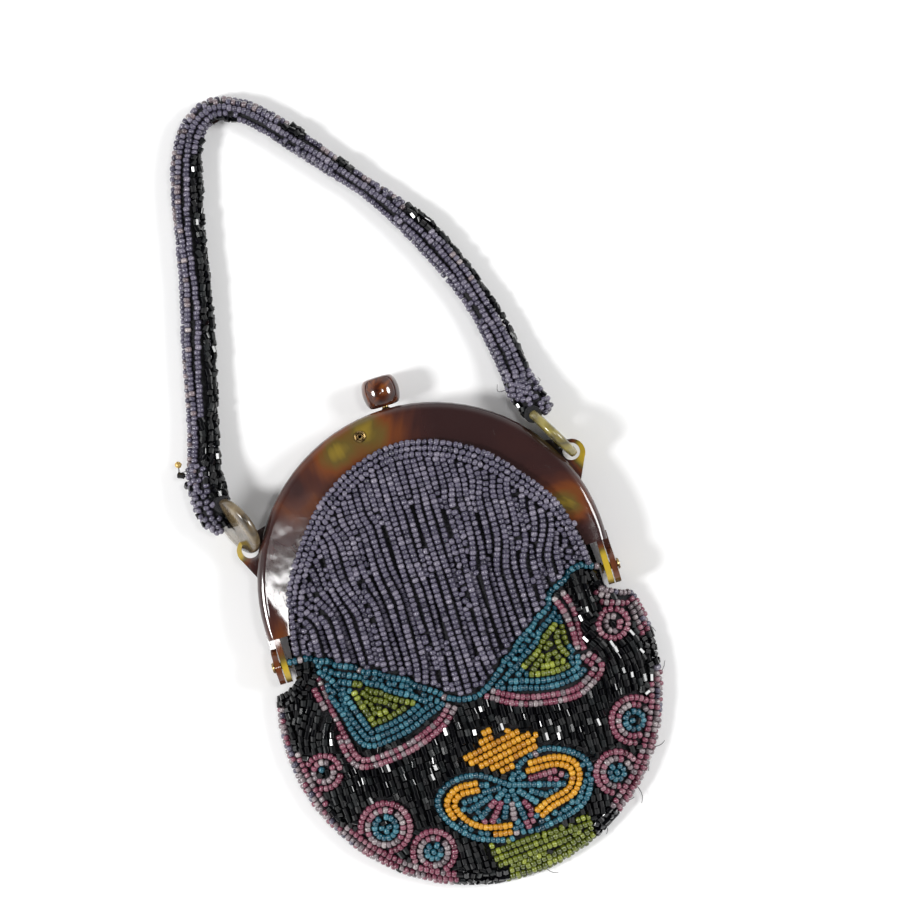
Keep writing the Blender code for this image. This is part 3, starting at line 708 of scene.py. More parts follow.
STRAP_ENDS = {
    "right": ((37.2, 46.0, 5.0, 3.9), (38.0, 42.0, 5.6, 4.1), (38.9, 38.6, 6.2, 4.3), (39.9, 35.8, 6.6, 4.1),
              (40.6, 34.0, 6.8, 3.2)),
    "left": ((-50.8, 48.0, 5.2, 4.4), (-51.5, 43.0, 6.0, 4.8), (-51.7, 38.0, 6.4, 5.0), (-51.2, 33.5, 6.2, 4.6),
             (-50.0, 30.3, 5.4, 3.2))}
END_INSET = 1.1                # from a strap end's outside to its cotton core
END_FLAT = 0.62                # a strap end's thickness for its width
strap_fittings = []
for word in ("left", "right"):
    body = f"{word}_ring"
    ring = finished_copy(f"ring_{word}", f"ring_{word}_turned", HORN[word], body, 1)
    loop = finished_copy(f"strap_loop_{word}", f"strap_end_{word}", COTTON, body, 1)
    bundle = smooth_path(STRAP_ENDS[word], 6)
    stations = []
    for k, (x, y, z, half) in enumerate(bundle):
        before, after = bundle[max(0, k - 1)], bundle[min(len(bundle) - 1, k + 1)]
        ahead = unit((after - before)[:3])
        side = unit(np.cross((0, 0, 1), ahead))
        stations.append((np.array((x, y, z)), ahead, side, np.cross(ahead, side), half))
    end_core = loft(f"strap_end_core_{word}",
                    [oval(middle, side, up, half - END_INSET, half * END_FLAT - 0.5, 14)
                     for middle, ahead, side, up, half in stations], COTTON)
    settle(end_core, body)
    ring_points = np.array([v.co for v in ring.data.vertices]) / MM - np.array((0, arch_y, 0))
    end_work = Beadwork()
    for k in range(1800):
        middle, ahead, side, up, half = stations[dice.randrange(1, len(stations))]
        a = dice.uniform(-0.6, math.pi + 0.6)
        out = unit(side * math.cos(a) / half + up * math.sin(a) / (half * END_FLAT))
        place = (middle + ahead * dice.uniform(-0.5, 0.5) + side * (half - END_INSET) * math.cos(a)
                 + up * (half * END_FLAT - 0.5) * math.sin(a) + out * 0.7)
        if np.min(np.linalg.norm(ring_points - place, axis=1)) < 1.15 or place[2] < ON_TABLE:
            continue
        if math.hypot(place[0], place[1]) < arch_radius + 0.9:
            continue
        inner = math.cos(a) > (0.15 if word == "left" else 2) or (word == "right" and math.cos(a) < -0.75)
        kind = "black" if inner or dice.random() < 0.06 else "lavender"
        along = ahead + side * dice.uniform(-0.5, 0.5)
        end_work.sew(kind, place, along, out, word, dice.uniform(0.9, 1.02),
                     dice.uniform(0.55, 0.8) if kind == "black" else 1.0, 0.94)
    for (kind, part), beads in end_work.sewn.items():
        piece = beads.make(f"strap_end_{kind}_beads_{word}", KINDS[kind][1], kind != "black")
        settle(piece, body)
        strap_fittings.append(piece)
    strap_fittings += [ring, loop, end_core]


# The frame: two crescents of mottled celluloid, sawn and pressed to imitate tortoiseshell, polished, with the
# back one carrying the lugs. Old scratches show in its polish. They turn on brass pins through their tabs.
def tortoiseshell(name, patches, shift, level):
    """Blotches of black, red-brown and amber, with a few clear patches where they were found."""
    mat, tree, shader = new_material(name, (0.05, 0.015, 0.01), 0.12)
    place = put(tree, "TexCoord", {}).outputs["Object"]
    slide = put(tree, "Mapping", {"Vector": place, "Location": shift})
    clouds = put(tree, "TexNoise", {"Vector": slide.outputs["Vector"], "Scale": 28.0, "Detail": 5.0,
                                    "Roughness": 0.55, "Distortion": 0.9})
    amount = clouds.outputs["Fac"]
    for (x, y), radius, strength in patches:
        near = put(tree, "VectorMath", {}, operation="DISTANCE")
        near.inputs[1].default_value = row(x, y, level)
        tree.links.new(place, near.inputs[0])
        fade = put(tree, "MapRange", {"Value": near.outputs["Value"], "From Min": 0.0, "From Max": radius * MM,
                                      "To Min": strength, "To Max": 0.0}, interpolation_type="SMOOTHSTEP")
        total = put(tree, "Math", {}, operation="ADD")
        tree.links.new(amount, total.inputs[0])
        tree.links.new(fade.outputs["Result"], total.inputs[1])
        amount = total.outputs["Value"]
    shades = ramp(tree, [(0.36, (0.028, 0.012, 0.012)), (0.48, (0.036, 0.014, 0.013)),
                         (0.57, (0.065, 0.021, 0.014)), (0.66, (0.14, 0.040, 0.012)),
                         (0.75, (0.105, 0.072, 0.018)), (0.92, (0.46, 0.32, 0.030))])
    tree.links.new(amount, shades.inputs["Fac"])
    tree.links.new(shades.outputs["Color"], shader.inputs["Base Color"])
    shader.inputs["Coat Weight"].default_value = 0.25
    shader.inputs["Coat Roughness"].default_value = 0.12
    shader.inputs["IOR"].default_value = 1.55
    wear_bump = add_wear(tree, shader, 0.05, 0.12)
    # the hand-polished face is never quite flat
    ripple = put(tree, "TexNoise", {"Vector": place, "Scale": 60.0, "Detail": 3.0})
    ripple_bump = put(tree, "Bump", {"Strength": 0.4, "Distance": 0.0003, "Height": ripple.outputs["Fac"]})
    tree.links.new(ripple_bump.outputs["Normal"], wear_bump.inputs["Normal"])
    return mat


frame_front_face = arch_high.z / MM
FRONT_SHELL = tortoiseshell(
    "tortoiseshell_front",
    [((-6, 43), 14, 0.27), ((-17, 40), 9, 0.18), ((40.4, 11), 12.0, 0.28), ((-33, 28), 9, 0.08),
     ((-44, -3), 8, 0.10), ((45, -8.5), 6.5, 0.40), ((-46, -13), 7, 0.34), ((45, -14), 6, 0.36),
     ((22, 40), 20, -0.22), ((-42, 13), 13, -0.16), ((-28, 34), 7, -0.12), ((45, 0), 7, -0.12)],
    (0.013, 0.004, 0.0), frame_front_face)
BACK_SHELL = tortoiseshell(
    "tortoiseshell_back",
    [((-49.5, 23.5), 7.5, 0.55), ((-47.5, 19), 9, 0.16), ((50, 20), 9, 0.70), ((47, 24), 7, 0.10),
     ((47, -12), 8, 0.36), ((-47, -12), 8, 0.30)],
    (0.071, 0.023, 0.0), 6.0)
for node, finish in (("front_frame", FRONT_SHELL), ("back_frame", BACK_SHELL)):
    finished_copy(node, f"{node}_polished", finish, node, 0, 32.0, 0.3)

BRASS = mottled("old_brass", {"Scale": 900.0, "Detail": 5.0},
                [(0.38, (0.10, 0.06, 0.025)), (0.52, (0.33, 0.22, 0.09)), (0.7, (0.52, 0.38, 0.16))],
                0.25, 0.6, metallic=1.0)
for word in ("left", "right"):
    finished_copy(f"hinge_pin_{word}", f"hinge_pin_{word}_turned", BRASS, "back_frame",
                  round_off=0.12)


# The catch: an amber glass bead on a stem that is part of a flat steel lever between the plates. The lever
# swings on a tubular rivet through the front plate, pressed back by a bent wire held by a second rivet, and
# its side stops against a headed post on the back plate.
KNOB = mottled("amber_bead", {"Scale": 160.0, "Detail": 4.0, "Distortion": 1.6},
               [(0.36, (0.018, 0.004, 0.003)), (0.5, (0.070, 0.016, 0.005)), (0.62, (0.17, 0.045, 0.007)),
                (0.78, (0.30, 0.11, 0.015))], 0.06, 0.35, coat=1.0)
STEEL = mottled("plated_steel", {"Scale": 700.0}, [(0.4, (0.20, 0.17, 0.14)), (0.6, (0.46, 0.44, 0.41))],
                0.22, 0.55, metallic=1.0)
for node, body, finish, slot, levels, round_off in (
        ("knob_bead", "catch_lever", KNOB, "amber_glass", 2, 0.0),
        ("knob_stem", "catch_lever", BRASS, "old_brass", 0, 0.15),
        ("catch_lever", "catch_lever", STEEL, "nickel_steel", 0, 0.15),
        ("catch_pivot_pin", "front_frame", BRASS, "old_brass", 0, 0.1),
        ("spring_anchor_pin", "front_frame", BRASS, "old_brass", 0, 0.08),
        ("catch_spring", "front_frame", STEEL, "nickel_steel", 1, 0.0),
        ("catch_keeper", "back_frame", BRASS, "old_brass", 0, 0.12)):
    piece = finished_copy(node, f"{node}_made", finish, body, levels, round_off=round_off)
    if node == "spring_anchor_pin":
        anchor = np.array([v.co[:] for v in piece.data.vertices]).mean(axis=0)

# a small brass eyelet round the spring's pin, on the plate's face
bpy.ops.object.select_all(action="DESELECT")
eyelet_place = (anchor[0], anchor[1], (frame_front_face + 0.15) * MM)
bpy.ops.mesh.primitive_torus_add(major_segments=36, minor_segments=10, major_radius=1.3 * MM,
                                 minor_radius=0.3 * MM, location=eyelet_place)
eyelet = bpy.context.object
eyelet.name = "anchor_eyelet"
bpy.ops.object.transform_apply(location=True, rotation=True, scale=True)
bpy.ops.object.shade_smooth()
eyelet.data.materials.append(BRASS)
settle(eyelet, "front_frame")


# The bag's cloth: one round of black cotton behind and one in front, joined at their edge, with the front
# gathered in pleats onto the front plate and the back laid flat behind the back plate. Each is lined with
# fawn silk, sewn along the inner edge of its plate.
BAG_RADIUS = 50.8
BAG_MIDDLE = -32.2
HINGE_LINE = -10.4
MOUTH_REACH = 42.0             # the mouth of the plates is a circle of this size
MOUTH_MIDDLE = -9.35
FRONT_SIDE = ((46.5, -18.0), (43.2, -15.5), (42.6, -12.0), (42.2, -8.0), (41.8, -3.0), (40.6, 3.0),
              (38.3, 10.0), (33.0, 18.4), (24.2, 28.4), (12.9, 35.4))
BACK_SIDE = ((45.6, -18.4), (43.9, -15.2), (43.6, -7.4), (42.2, 3.0), (38.8, 13.0), (32.5, 22.5), (24.0, 30.5),
             (12.5, 36.8))


def inward_of(path):
    """The level direction into a closed outline, at each of its points."""
    ahead = np.roll(path, -1, axis=0) - np.roll(path, 1, axis=0)
    ahead /= np.linalg.norm(ahead, axis=1)[:, None]
    return np.stack([-ahead[:, 1], ahead[:, 0]], axis=1)


def round_outline(side, top, inset=0.0):
    """Closed outline: the round bag up to its neck, then the given right-hand side and its mirror image."""
    start = math.degrees(math.asin((-19.0 - BAG_MIDDLE) / BAG_RADIUS))
    lower = [(BAG_RADIUS * math.cos(math.radians(a)), BAG_MIDDLE + BAG_RADIUS * math.sin(math.radians(a)))
             for a in np.linspace(180 - start, 360 + start, 60)]
    upper = [*side, (0.0, top)]
    points = np.array(lower + upper + [(-x, y) for x, y in reversed(side)])
    path = smooth_path(points, 6, closed=True)
    return path + inward_of(path) * inset


PLEATS = [(-39.0 + 6.1 * k + dice.uniform(-1.2, 1.2), dice.uniform(-0.10, 0.10), dice.uniform(1.4, 2.4),
           dice.uniform(1.3, 2.1)) for k in range(14)]


def front_heights(x, y):
    """Height of the front cloth's outer face: a round belly below, level over the plate, with gathers that
    start under the frame and die out over the belly."""
    spread = (x * x + (y - BAG_MIDDLE) ** 2) / BAG_RADIUS ** 2
    belly = 0.3 + 12.6 * np.maximum(0.0, 1.0 - spread) ** 0.4
    over_plate = smooth_step((y + 17.0) / 13.0)
    depth = sum(deep * np.exp(-((x - middle - lean * (y + 12.0)) / wide) ** 2)
                for middle, lean, deep, wide in PLEATS)
    grip = smooth_step((y + 40.0) / 20.0) * (1.0 - 0.35 * smooth_step((y + 4.0) / 12.0))
    gathers = (1.1 - np.minimum(depth, 2.6)) * grip * smooth_step((1.0 - spread) * 4 + over_plate)
    return belly * (1 - over_plate) + 12.95 * over_plate + gathers


GRID = 0.25
GRID_LEFT = -53.0
GRID_LOW = -86.0
grid_x = np.arange(GRID_LEFT, 53.0, GRID)
grid_y = np.arange(GRID_LOW, 42.0, GRID)
heights = front_heights(grid_x[None, :], grid_y[:, None]).tolist()


def front_height(x, y):
    """The front cloth's height, read from a fine grid of it."""
    i = (x - GRID_LEFT) / GRID
    j = (y - GRID_LOW) / GRID
    i0, j0 = min(len(grid_x) - 2, max(0, int(i))), min(len(grid_y) - 2, max(0, int(j)))
    u, v = min(1.0, max(0.0, i - i0)), min(1.0, max(0.0, j - j0))
    low = heights[j0][i0] * (1 - u) + heights[j0][i0 + 1] * u
    high = heights[j0 + 1][i0] * (1 - u) + heights[j0 + 1][i0 + 1] * u
    return low * (1 - v) + high * v


def shell(name, outline, centre, top_at, bottom_at, rings, finish):
    """A closed sheet over a star-shaped outline, with an upper and a lower face."""
    around = len(outline)
    upper, lower = [], []
    for k in range(rings + 1):
        share = math.sin(math.pi / 2 * k / rings) if k < rings else 1.0
        for px, py in (outline if k else [centre]):
            x = centre[0] + (px - centre[0]) * share
            y = centre[1] + (py - centre[1]) * share
            upper.append((x, y, top_at(x, y)))
            lower.append((x, y, bottom_at(x, y)))
    faces = []
    total = len(upper)
    for start, turned in ((0, False), (total, True)):
        for i in range(around):
            j = (i + 1) % around
            fan = (start, start + 1 + i, start + 1 + j)
            faces.append(tuple(reversed(fan)) if turned else fan)
            for k in range(rings - 1):
                a, b = start + 1 + k * around + i, start + 1 + k * around + j
                quad = (a, a + around, b + around, b)
                faces.append(tuple(reversed(quad)) if turned else quad)
    edge = 1 + (rings - 1) * around
    for i in range(around):
        j = (i + 1) % around
        faces.append((edge + i, total + edge + i, total + edge + j, edge + j))
    return mesh_piece(name, [tuple(row(*p)) for p in upper + lower], faces, finish)


GROUND = cloth("bag_cotton", (0.004, 0.004, 0.006), (0.012, 0.010, 0.014), 7000.0, 0.0)
SILK = cloth("fawn_silk", (0.36, 0.28, 0.18), (0.26, 0.19, 0.12), 16000.0, 0.3)

front_outline = round_outline(FRONT_SIDE, 38.3)
back_outline = round_outline(BACK_SIDE, 38.2)
front_cloth = shell("front_cloth", round_outline(FRONT_SIDE, 38.3, 0.5), (0.0, -20.0),
                    lambda x, y: front_height(x, y) - 0.05, lambda x, y: front_height(x, y) - 0.3, 34, GROUND)
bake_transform(front_cloth)
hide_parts("bag_front_panel", "bag_front_gather")
back_cloth = shell("back_cloth", round_outline(BACK_SIDE, 38.2, 0.4), (0.0, -20.0),
                   lambda x, y: 1.92, lambda x, y: 1.66, 6, GROUND)
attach(back_cloth, "back_frame")
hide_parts("bag_back_panel")


def lining_rumple(x, y):
    return 0.12 * math.sin(x * 0.55 + 0.2 * y) * math.sin(y * 0.21 + 1.3)


def mouth_outline(inset):
    """The bag's outline kept inside the round mouth of the plates."""
    path = round_outline(FRONT_SIDE, 38.3, inset)
    kept = []
    for x, y in path:
        reach = math.hypot(x, y - MOUTH_MIDDLE)
        if y > HINGE_LINE and reach > 0:
            share = min(1.0, (MOUTH_REACH - 0.6) / reach)
            x, y = x * share, MOUTH_MIDDLE + (y - MOUTH_MIDDLE) * share
        kept.append((x, y))
    return np.array(kept)


back_lining = shell("back_lining", mouth_outline(3.4), (0.0, -20.0),
                    lambda x, y: 2.38 + lining_rumple(x, y), lambda x, y: 2.14 + lining_rumple(x, y), 12, SILK)
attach(back_lining, "back_frame")
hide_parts("lining_back")
front_lining = shell("front_lining", mouth_outline(2.2), (0.0, -20.0),
                     lambda x, y: min(front_height(x, y) - 1.05, 12.3) + 0.3 * lining_rumple(x, y),
                     lambda x, y: min(front_height(x, y) - 1.3, 12.05) + 0.3 * lining_rumple(x, y), 24, SILK)
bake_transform(front_lining)
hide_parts("lining_front", "lining_front_upper")

LINEN, _, linen_shader = new_material("linen_thread", (0.05, 0.045, 0.05), 0.8)
linen_shader.inputs["Sheen Weight"].default_value = 0.3
for word, body in (("back", "back_frame"), ("front", "front_frame")):
    finished_copy(f"sewing_thread_{word}", f"sewing_{word}", LINEN, body)


# The beadwork on the front, sewn bead by bead through the cloth: rows round the edge first, then the outlines
# of the flowers, leaves and bird, then their fillings, and at last the ground in upright columns, lavender
# above and long black cut beads below. Beads keep clear of each other, so gaps show where rows meet.
def face_normal(x, y):
    slope_x = (front_height(x + 0.25, y) - front_height(x - 0.25, y)) * 2
    slope_y = (front_height(x, y + 0.25) - front_height(x, y - 0.25)) * 2
    total = math.sqrt(slope_x * slope_x + slope_y * slope_y + 1.0)
    return -slope_x / total, -slope_y / total, 1.0 / total


front_work = Beadwork()
CREASE_LOW = -24.0


def lay(kind, x, y, heading, lift=0.0, length=1.0, crowd=1.0):
    """Sew one bead on the front at x, y, its hole pointing along the level direction heading."""
    nx, ny, nz = face_normal(x, y)
    hx, hy = heading
    down = hx * nx + hy * ny
    tx, ty, tz = hx - nx * down, hy - ny * down, -nz * down
    total = max(math.sqrt(tx * tx + ty * ty + tz * tz), 1e-6)
    tx, ty, tz = tx / total, ty / total, tz / total
    sx, sy, sz = ny * tz - nz * ty, nz * tx - nx * tz, nx * ty - ny * tx
    loose = 1.7 if kind == "black" else 1.0
    sway, nod = loose * dice.uniform(-0.09, 0.09), loose * dice.uniform(-0.08, 0.08)
    along = (tx + sx * sway + nx * nod, ty + sy * sway + ny * nod, tz + sz * sway + nz * nod)
    stand = 0.78 + lift + dice.uniform(-0.06, 0.08)
    place = (x + nx * stand, y + ny * stand, max(1.9, front_height(x, y) + nz * stand))
    region = "upper" if y > CREASE_LOW else "lower"
    size = dice.uniform(0.92, 1.05)
    return front_work.sew(kind, place, along, (nx, ny, nz), region, size, length, crowd)


def sew_row(path, kind):
    """Beads one after another along a path on the front, each as close as the last allows."""
    for point, direction, s in walk(np.array(path, float), 0.22):
        if dice.random() > 0.003:                        # a bead is lost here and there
            chosen = kind(point[0], point[1]) if callable(kind) else kind
            if chosen:
                lay(chosen, point[0], point[1], direction)


def offset_path(path, distance, closed=False):
    """A path moved sideways, to its left, without the parts that would double back."""
    path = np.array(path, float)
    if closed:
        ahead = np.roll(path, -1, axis=0) - np.roll(path, 1, axis=0)
    else:
        ahead = np.gradient(path, axis=0)
    ahead /= np.maximum(np.linalg.norm(ahead, axis=1)[:, None], 1e-9)
    moved = path + np.stack([-ahead[:, 1], ahead[:, 0]], axis=1) * distance
    keep = []
    for q in moved:
        nearest = np.min(np.linalg.norm(path - q, axis=1))
        keep.append(nearest > abs(distance) - 0.25)
    return moved[np.array(keep)] if any(keep) else np.zeros((0, 2))


outline_levels = {}


def inside(polygon, x, y):
    """Whether a point lies within a closed outline, by how often a level line from it crosses the outline."""
    key = id(polygon)
    if key not in outline_levels:
        corners = [(float(a), float(b)) for a, b in polygon]
        levels = {}
        for (px, py), (qx, qy) in zip(corners, corners[1:] + corners[:1]):
            for level in range(int(min(py, qy) // 1), int(max(py, qy) // 1) + 1):
                levels.setdefault(level, []).append((px, py, qx, qy))
        outline_levels[key] = (polygon, levels)
    within = False
    for px, py, qx, qy in outline_levels[key][1].get(int(y // 1), ()):
        if (py > y) != (qy > y) and x < (qx - px) * (y - py) / (qy - py) + px:
            within = not within
    return within


def area_of(polygon):
    x, y = polygon[:, 0], polygon[:, 1]
    return float(np.sum(x * np.roll(y, -1) - np.roll(x, -1) * y)) / 2


def closed_path(points, per_span=10):
    path = smooth_path(points, per_span, closed=True)
    return path if area_of(path) > 0 else path[::-1]


def sew_filling(outline, kind, first=0.9, pitch=SEED_WIDTH, rings=14):
    """Rows inside a closed outline, one within the other, until nothing more fits."""
    for k in range(rings):
        path = offset_path(outline, first + pitch * k, closed=True)
        if len(path) < 3:
            break
        for point, following in zip(path, np.roll(path, -1, axis=0)):
            reach = np.linalg.norm(following - point)
            if reach > 3.0 or reach < 1e-6:
                continue
            for t in np.arange(0, 1, min(1.0, 0.25 / reach)):
                q = point + (following - point) * t
                if inside(outline, q[0], q[1]):
                    chosen = kind(q[0], q[1]) if callable(kind) else kind
                    if chosen:
                        lay(chosen, float(q[0]), float(q[1]), tuple((following - point) / reach))


def sew_rows(outline, kind, degrees, pitch=1.88):
    """Straight rows side by side across a closed outline."""
    along = (math.cos(math.radians(degrees)), math.sin(math.radians(degrees)))
    middle = outline.mean(axis=0)
    for number in range(-14, 15):
        start_x = middle[0] - along[1] * pitch * number
        start_y = middle[1] + along[0] * pitch * number
        for reach in np.arange(-24.0, 24.0, 0.2):
            x, y = start_x + along[0] * reach, start_y + along[1] * reach
            if inside(outline, x, y):
                lay(kind, x, y, along)


BORDER = smooth_path(((-43.5, -9.5), (-38, -10.5), (-28, -16.5), (-19, -21.5), (-11, -27), (-6.5, -31),
                      (-1.5, -33), (4, -32.5), (11, -27), (15.5, -24), (20.5, -20), (26, -16.5),
                      (27.5, -13.5), (33.5, -9.5), (38, -7.5), (43, -9)), 8)
LEAVES = {
    "left": ((-43, -8.5), (-36, -12), (-28.5, -15.5), (-17, -23.5), (-6.5, -31.5), (-14, -36), (-23, -38.5),
             (-31, -38), (-34.5, -30), (-37.5, -18.5)),
    "right": ((31, -12), (24.5, -17), (15.5, -24.5), (4, -32), (13.5, -35.5), (22, -37.5), (30.5, -36.5),
              (33, -33), (33, -29.5), (31, -25.5), (32, -19))}
LEAF_HEARTS = {
    "left": ((-29, -20.5), (-22, -24.5), (-15, -29), (-19.5, -31.5), (-25, -33), (-29, -31)),
    "right": ((28, -20), (21, -25), (16, -29), (19, -33), (25.5, -34.5), (28, -30), (28.5, -25))}
PINK_STEMS = {
    "left": ((-40, -10.5), (-39, -19.5), (-37, -30), (-35, -40), (-30.5, -42.5), (-19.5, -41.5), (-10, -38),
             (-5, -34)),
    "right": ((4.5, -33.5), (11, -37.5), (17.5, -39.5), (27, -40.5), (33, -38), (35.5, -35), (33, -31)),
    "upper_right": ((31.5, -13.5), (32.5, -17.5), (33, -23), (33, -30))}
BUDS = ((-43.5, -41, 5.4), (-32, -60, 7.5), (-21.5, -70, 6.5), (31.5, -64, 6.5), (40, -52, 7.0),
        (42, -25.5, 4.9))       # each bud's middle and the size of its outer ring
BIRD = ((2, -41.5), (3, -45), (7, -44.5), (11.5, -46.5), (14, -48), (12, -51.5), (8, -52.5), (4, -55),
        (-1.5, -52), (-4.5, -50.5), (-6, -47.5), (-1.5, -46))
LOTUS_LEFT = ((3, -58.5), (-4.5, -53.5), (-12, -53.5), (-16.5, -57), (-16, -62), (-12.5, -67), (-9, -70),
              (-2.5, -72.5))
LOTUS_RIGHT = ((3, -58.5), (7.5, -54), (14.5, -52), (21.5, -55), (25, -59.5), (23.5, -65.5), (20, -69.5),
               (13, -71.5), (5.5, -72.5))
PETAL_LEFT = ((-5.5, -55.5), (-11, -55.5), (-14.5, -59), (-12.5, -65), (-8, -69), (-3, -70.5), (0.5, -71))
PETAL_RIGHT = ((9, -54.5), (17, -55), (21.5, -58), (21.5, -62.5), (18.5, -66), (12.5, -67.5), (8, -69.5))
LOTUS_HEART = (3.0, -58.5)
GREEN_FOOT = ((-6, -72), (1.5, -73.5), (11.5, -74), (20.5, -73), (19, -76.5), (6.5, -80.5), (-4, -81))

border_table = [float(v) for v in np.interp(np.arange(-52.0, 52.0, 0.25), BORDER[:, 0], BORDER[:, 1])]


def border_height(x):
    return border_table[min(len(border_table) - 1, max(0, int((x + 52.0) * 4)))]


def ground_kind(x, y):
    return "lavender" if y > border_height(x) else "black"


def edge_kind(x, y, row_number):
    """Black along most of the edge, clear and rose along the bag's sides and outside the buds."""
    if y > border_height(x) - 0.5:
        return "lavender"
    if row_number < 2 and (x < 0 and -62 < y < -22 or x > 0 and (-30 < y < -15 or -56 < y < -40)):
        return dice.choice(("clear", "lavender", "pink", "clear"))
    if -4.5 < x < 20.5 and y < -70:
        return "green"
    if abs(x) > 17.5 and any(math.hypot(x - bx, y - by) < radius + 3.5 for bx, by, radius in BUDS):
        return dice.choice(("pink", "pink", "clear"))
    return "black"


# the border of the lavender ground, then rows round the edge, standing a little over it
sew_row(BORDER, lambda x, y: "teal" if dice.random() < 0.95 else "clear")
edge_turn = front_outline[:, 1]
for row_number, (low_inset, high_inset) in enumerate(((0.15, 0.9), (0.75, 2.5), (2.3, 4.1))):
    inset = low_inset + (high_inset - low_inset) * np.array([smooth_step((y + 24) / 12) for y in edge_turn])
    path = front_outline + inward_of(front_outline) * inset[:, None]
    path = np.vstack([path, path[:1]])
    for point, direction, s in walk(path, 0.25):
        x, y = point
        if y < -4.0:
            kind = edge_kind(x, y, row_number)
            heading = direction
            if kind == "black" and dice.random() < 0.6:
                heading = (-direction[1] + dice.uniform(-0.5, 0.5), direction[0] + dice.uniform(-0.5, 0.5))
            lay(kind, x, y, heading, length=dice.uniform(0.6, 0.9) if kind == "black" else 1.0,
                lift=dice.uniform(0, 0.3))
        else:
            turn = dice.uniform(0, math.pi)
            lay("lavender", x, y, (math.cos(turn), math.sin(turn)), lift=dice.uniform(-0.1, 0.5), crowd=0.93)

# the rose stems, the leaves, the buds, the bird and the lotus
for name, stem in PINK_STEMS.items():
    path = smooth_path(stem, 8)
    shift = 0.0 if name == "upper_right" else 1.3
    sew_row(offset_path(path, shift), lambda x, y: "pink" if dice.random() < 0.7 else "clear")
    sew_row(offset_path(path, shift - SEED_WIDTH), lambda x, y: "pink" if dice.random() < 0.6 else "clear")
for side in ("left", "right"):
    heart = closed_path(LEAF_HEARTS[side])
    leaf = closed_path(LEAVES[side])
    sew_filling(leaf, lambda x, y: "green" if inside(heart, x, y) else "teal")
for x, y, radius in BUDS:
    for ring_number, kind in enumerate(("pink", "clear", "teal", "teal")):
        reach = radius - 0.9 - SEED_WIDTH * ring_number
        if reach < 0.5:
            continue
        for k in range(int(2 * math.pi * reach / 0.22)):
            angle = k * 0.22 / reach + ring_number
            px, py = x + reach * math.cos(angle), y + reach * math.sin(angle)
            if inside(front_outline, px, py):
                shade = "pink" if kind == "clear" and dice.random() < 0.4 else kind
                lay(shade, px, py, (-math.sin(angle), math.cos(angle)))
    if inside(front_outline, x, y):
        lay("teal", x, y, (1.0, 0.3))
sew_rows(closed_path(BIRD), "orange", 10.0)
for path in (LOTUS_LEFT, LOTUS_RIGHT):
    sew_row(smooth_path(path, 8), "teal")
for path, turned in ((PETAL_LEFT, -1.0), (PETAL_RIGHT, 1.0)):
    petal = smooth_path(path, 8)
    sew_row(petal, "orange")
    sew_row(offset_path(petal, -1.9 if turned > 0 else 1.9), "orange")
lotus = closed_path(LOTUS_LEFT + tuple(reversed(LOTUS_RIGHT[1:])))


def lotus_kind(x, y):
    """Rays of teal, clear and rose spread down from the flower's heart."""
    angle = math.degrees(math.atan2(y - LOTUS_HEART[1], x - LOTUS_HEART[0]))
    band = int(math.floor((angle + 180 + 6 * math.sin(y * 0.7)) / 17))
    reach = math.hypot(x - LOTUS_HEART[0], y - LOTUS_HEART[1])
    if reach < 5 or reach > 14.5:
        return "teal"
    return ("teal", "teal", "pink", "teal", "clear", "teal", "pink", "teal")[band % 8]


for k in range(22):
    angle = math.radians(-180 + 360 * k / 22)
    direction = (math.cos(angle), math.sin(angle))
    for reach in np.arange(1.2, 24, 0.22):
        x = LOTUS_HEART[0] + reach * direction[0]
        y = LOTUS_HEART[1] + reach * direction[1]
        if inside(lotus, x, y):
            lay(lotus_kind(x, y), x, y, direction)
sew_filling(lotus, lotus_kind)
sew_rows(closed_path(GREEN_FOOT), "green", 4.0)


def fill_gaps(kind_at, low_y, high_y, crowd=0.94, step=0.5):
    """Odd beads wherever a hole is left that one more can go into."""
    for y in np.arange(low_y, high_y, step):
        for x in np.arange(-50.5, 50.5, step):
            if not inside(front_outline, x, y):
                continue
            kind = kind_at(x, y)
            if kind:
                turn = dice.uniform(0, math.pi)
                heading = (math.cos(turn), math.sin(turn))
                lay(kind, x, y, heading, crowd=crowd, lift=-0.1, length=0.8 if kind == "black" else 0.95)


motifs = [(closed_path(BIRD), lambda x, y: "orange"), (lotus, lotus_kind),
          (closed_path(GREEN_FOOT), lambda x, y: "green")]
for side in ("left", "right"):
    motifs.append((closed_path(LEAF_HEARTS[side]), lambda x, y: "green"))
    motifs.append((closed_path(LEAVES[side]), lambda x, y: "teal"))


def motif_kind(x, y):
    for outline, kind in motifs:
        if inside(outline, x, y):
            return kind(x, y)
    return None


fill_gaps(motif_kind, -82.0, -8.0, 0.86, 0.3)


def cloth_columns(ys, half, step=0.25):
    """How far along the cloth each point across it lies, level by level, from the middle line."""
    xs = np.arange(-half, half + step, step)
    middle = len(xs) // 2
    levels = []
    for y in ys:
        z = np.array([front_height(x, y) for x in xs])
        grown = np.concatenate([[0], np.cumsum(np.minimum(np.hypot(step, np.diff(z)), 3 * step))])
        levels.append(grown - grown[middle])
    return xs, np.array(levels)


levels_y = np.arange(-84.0, 39.0, 0.75)
across_x, across_run = cloth_columns(levels_y, 51.5)


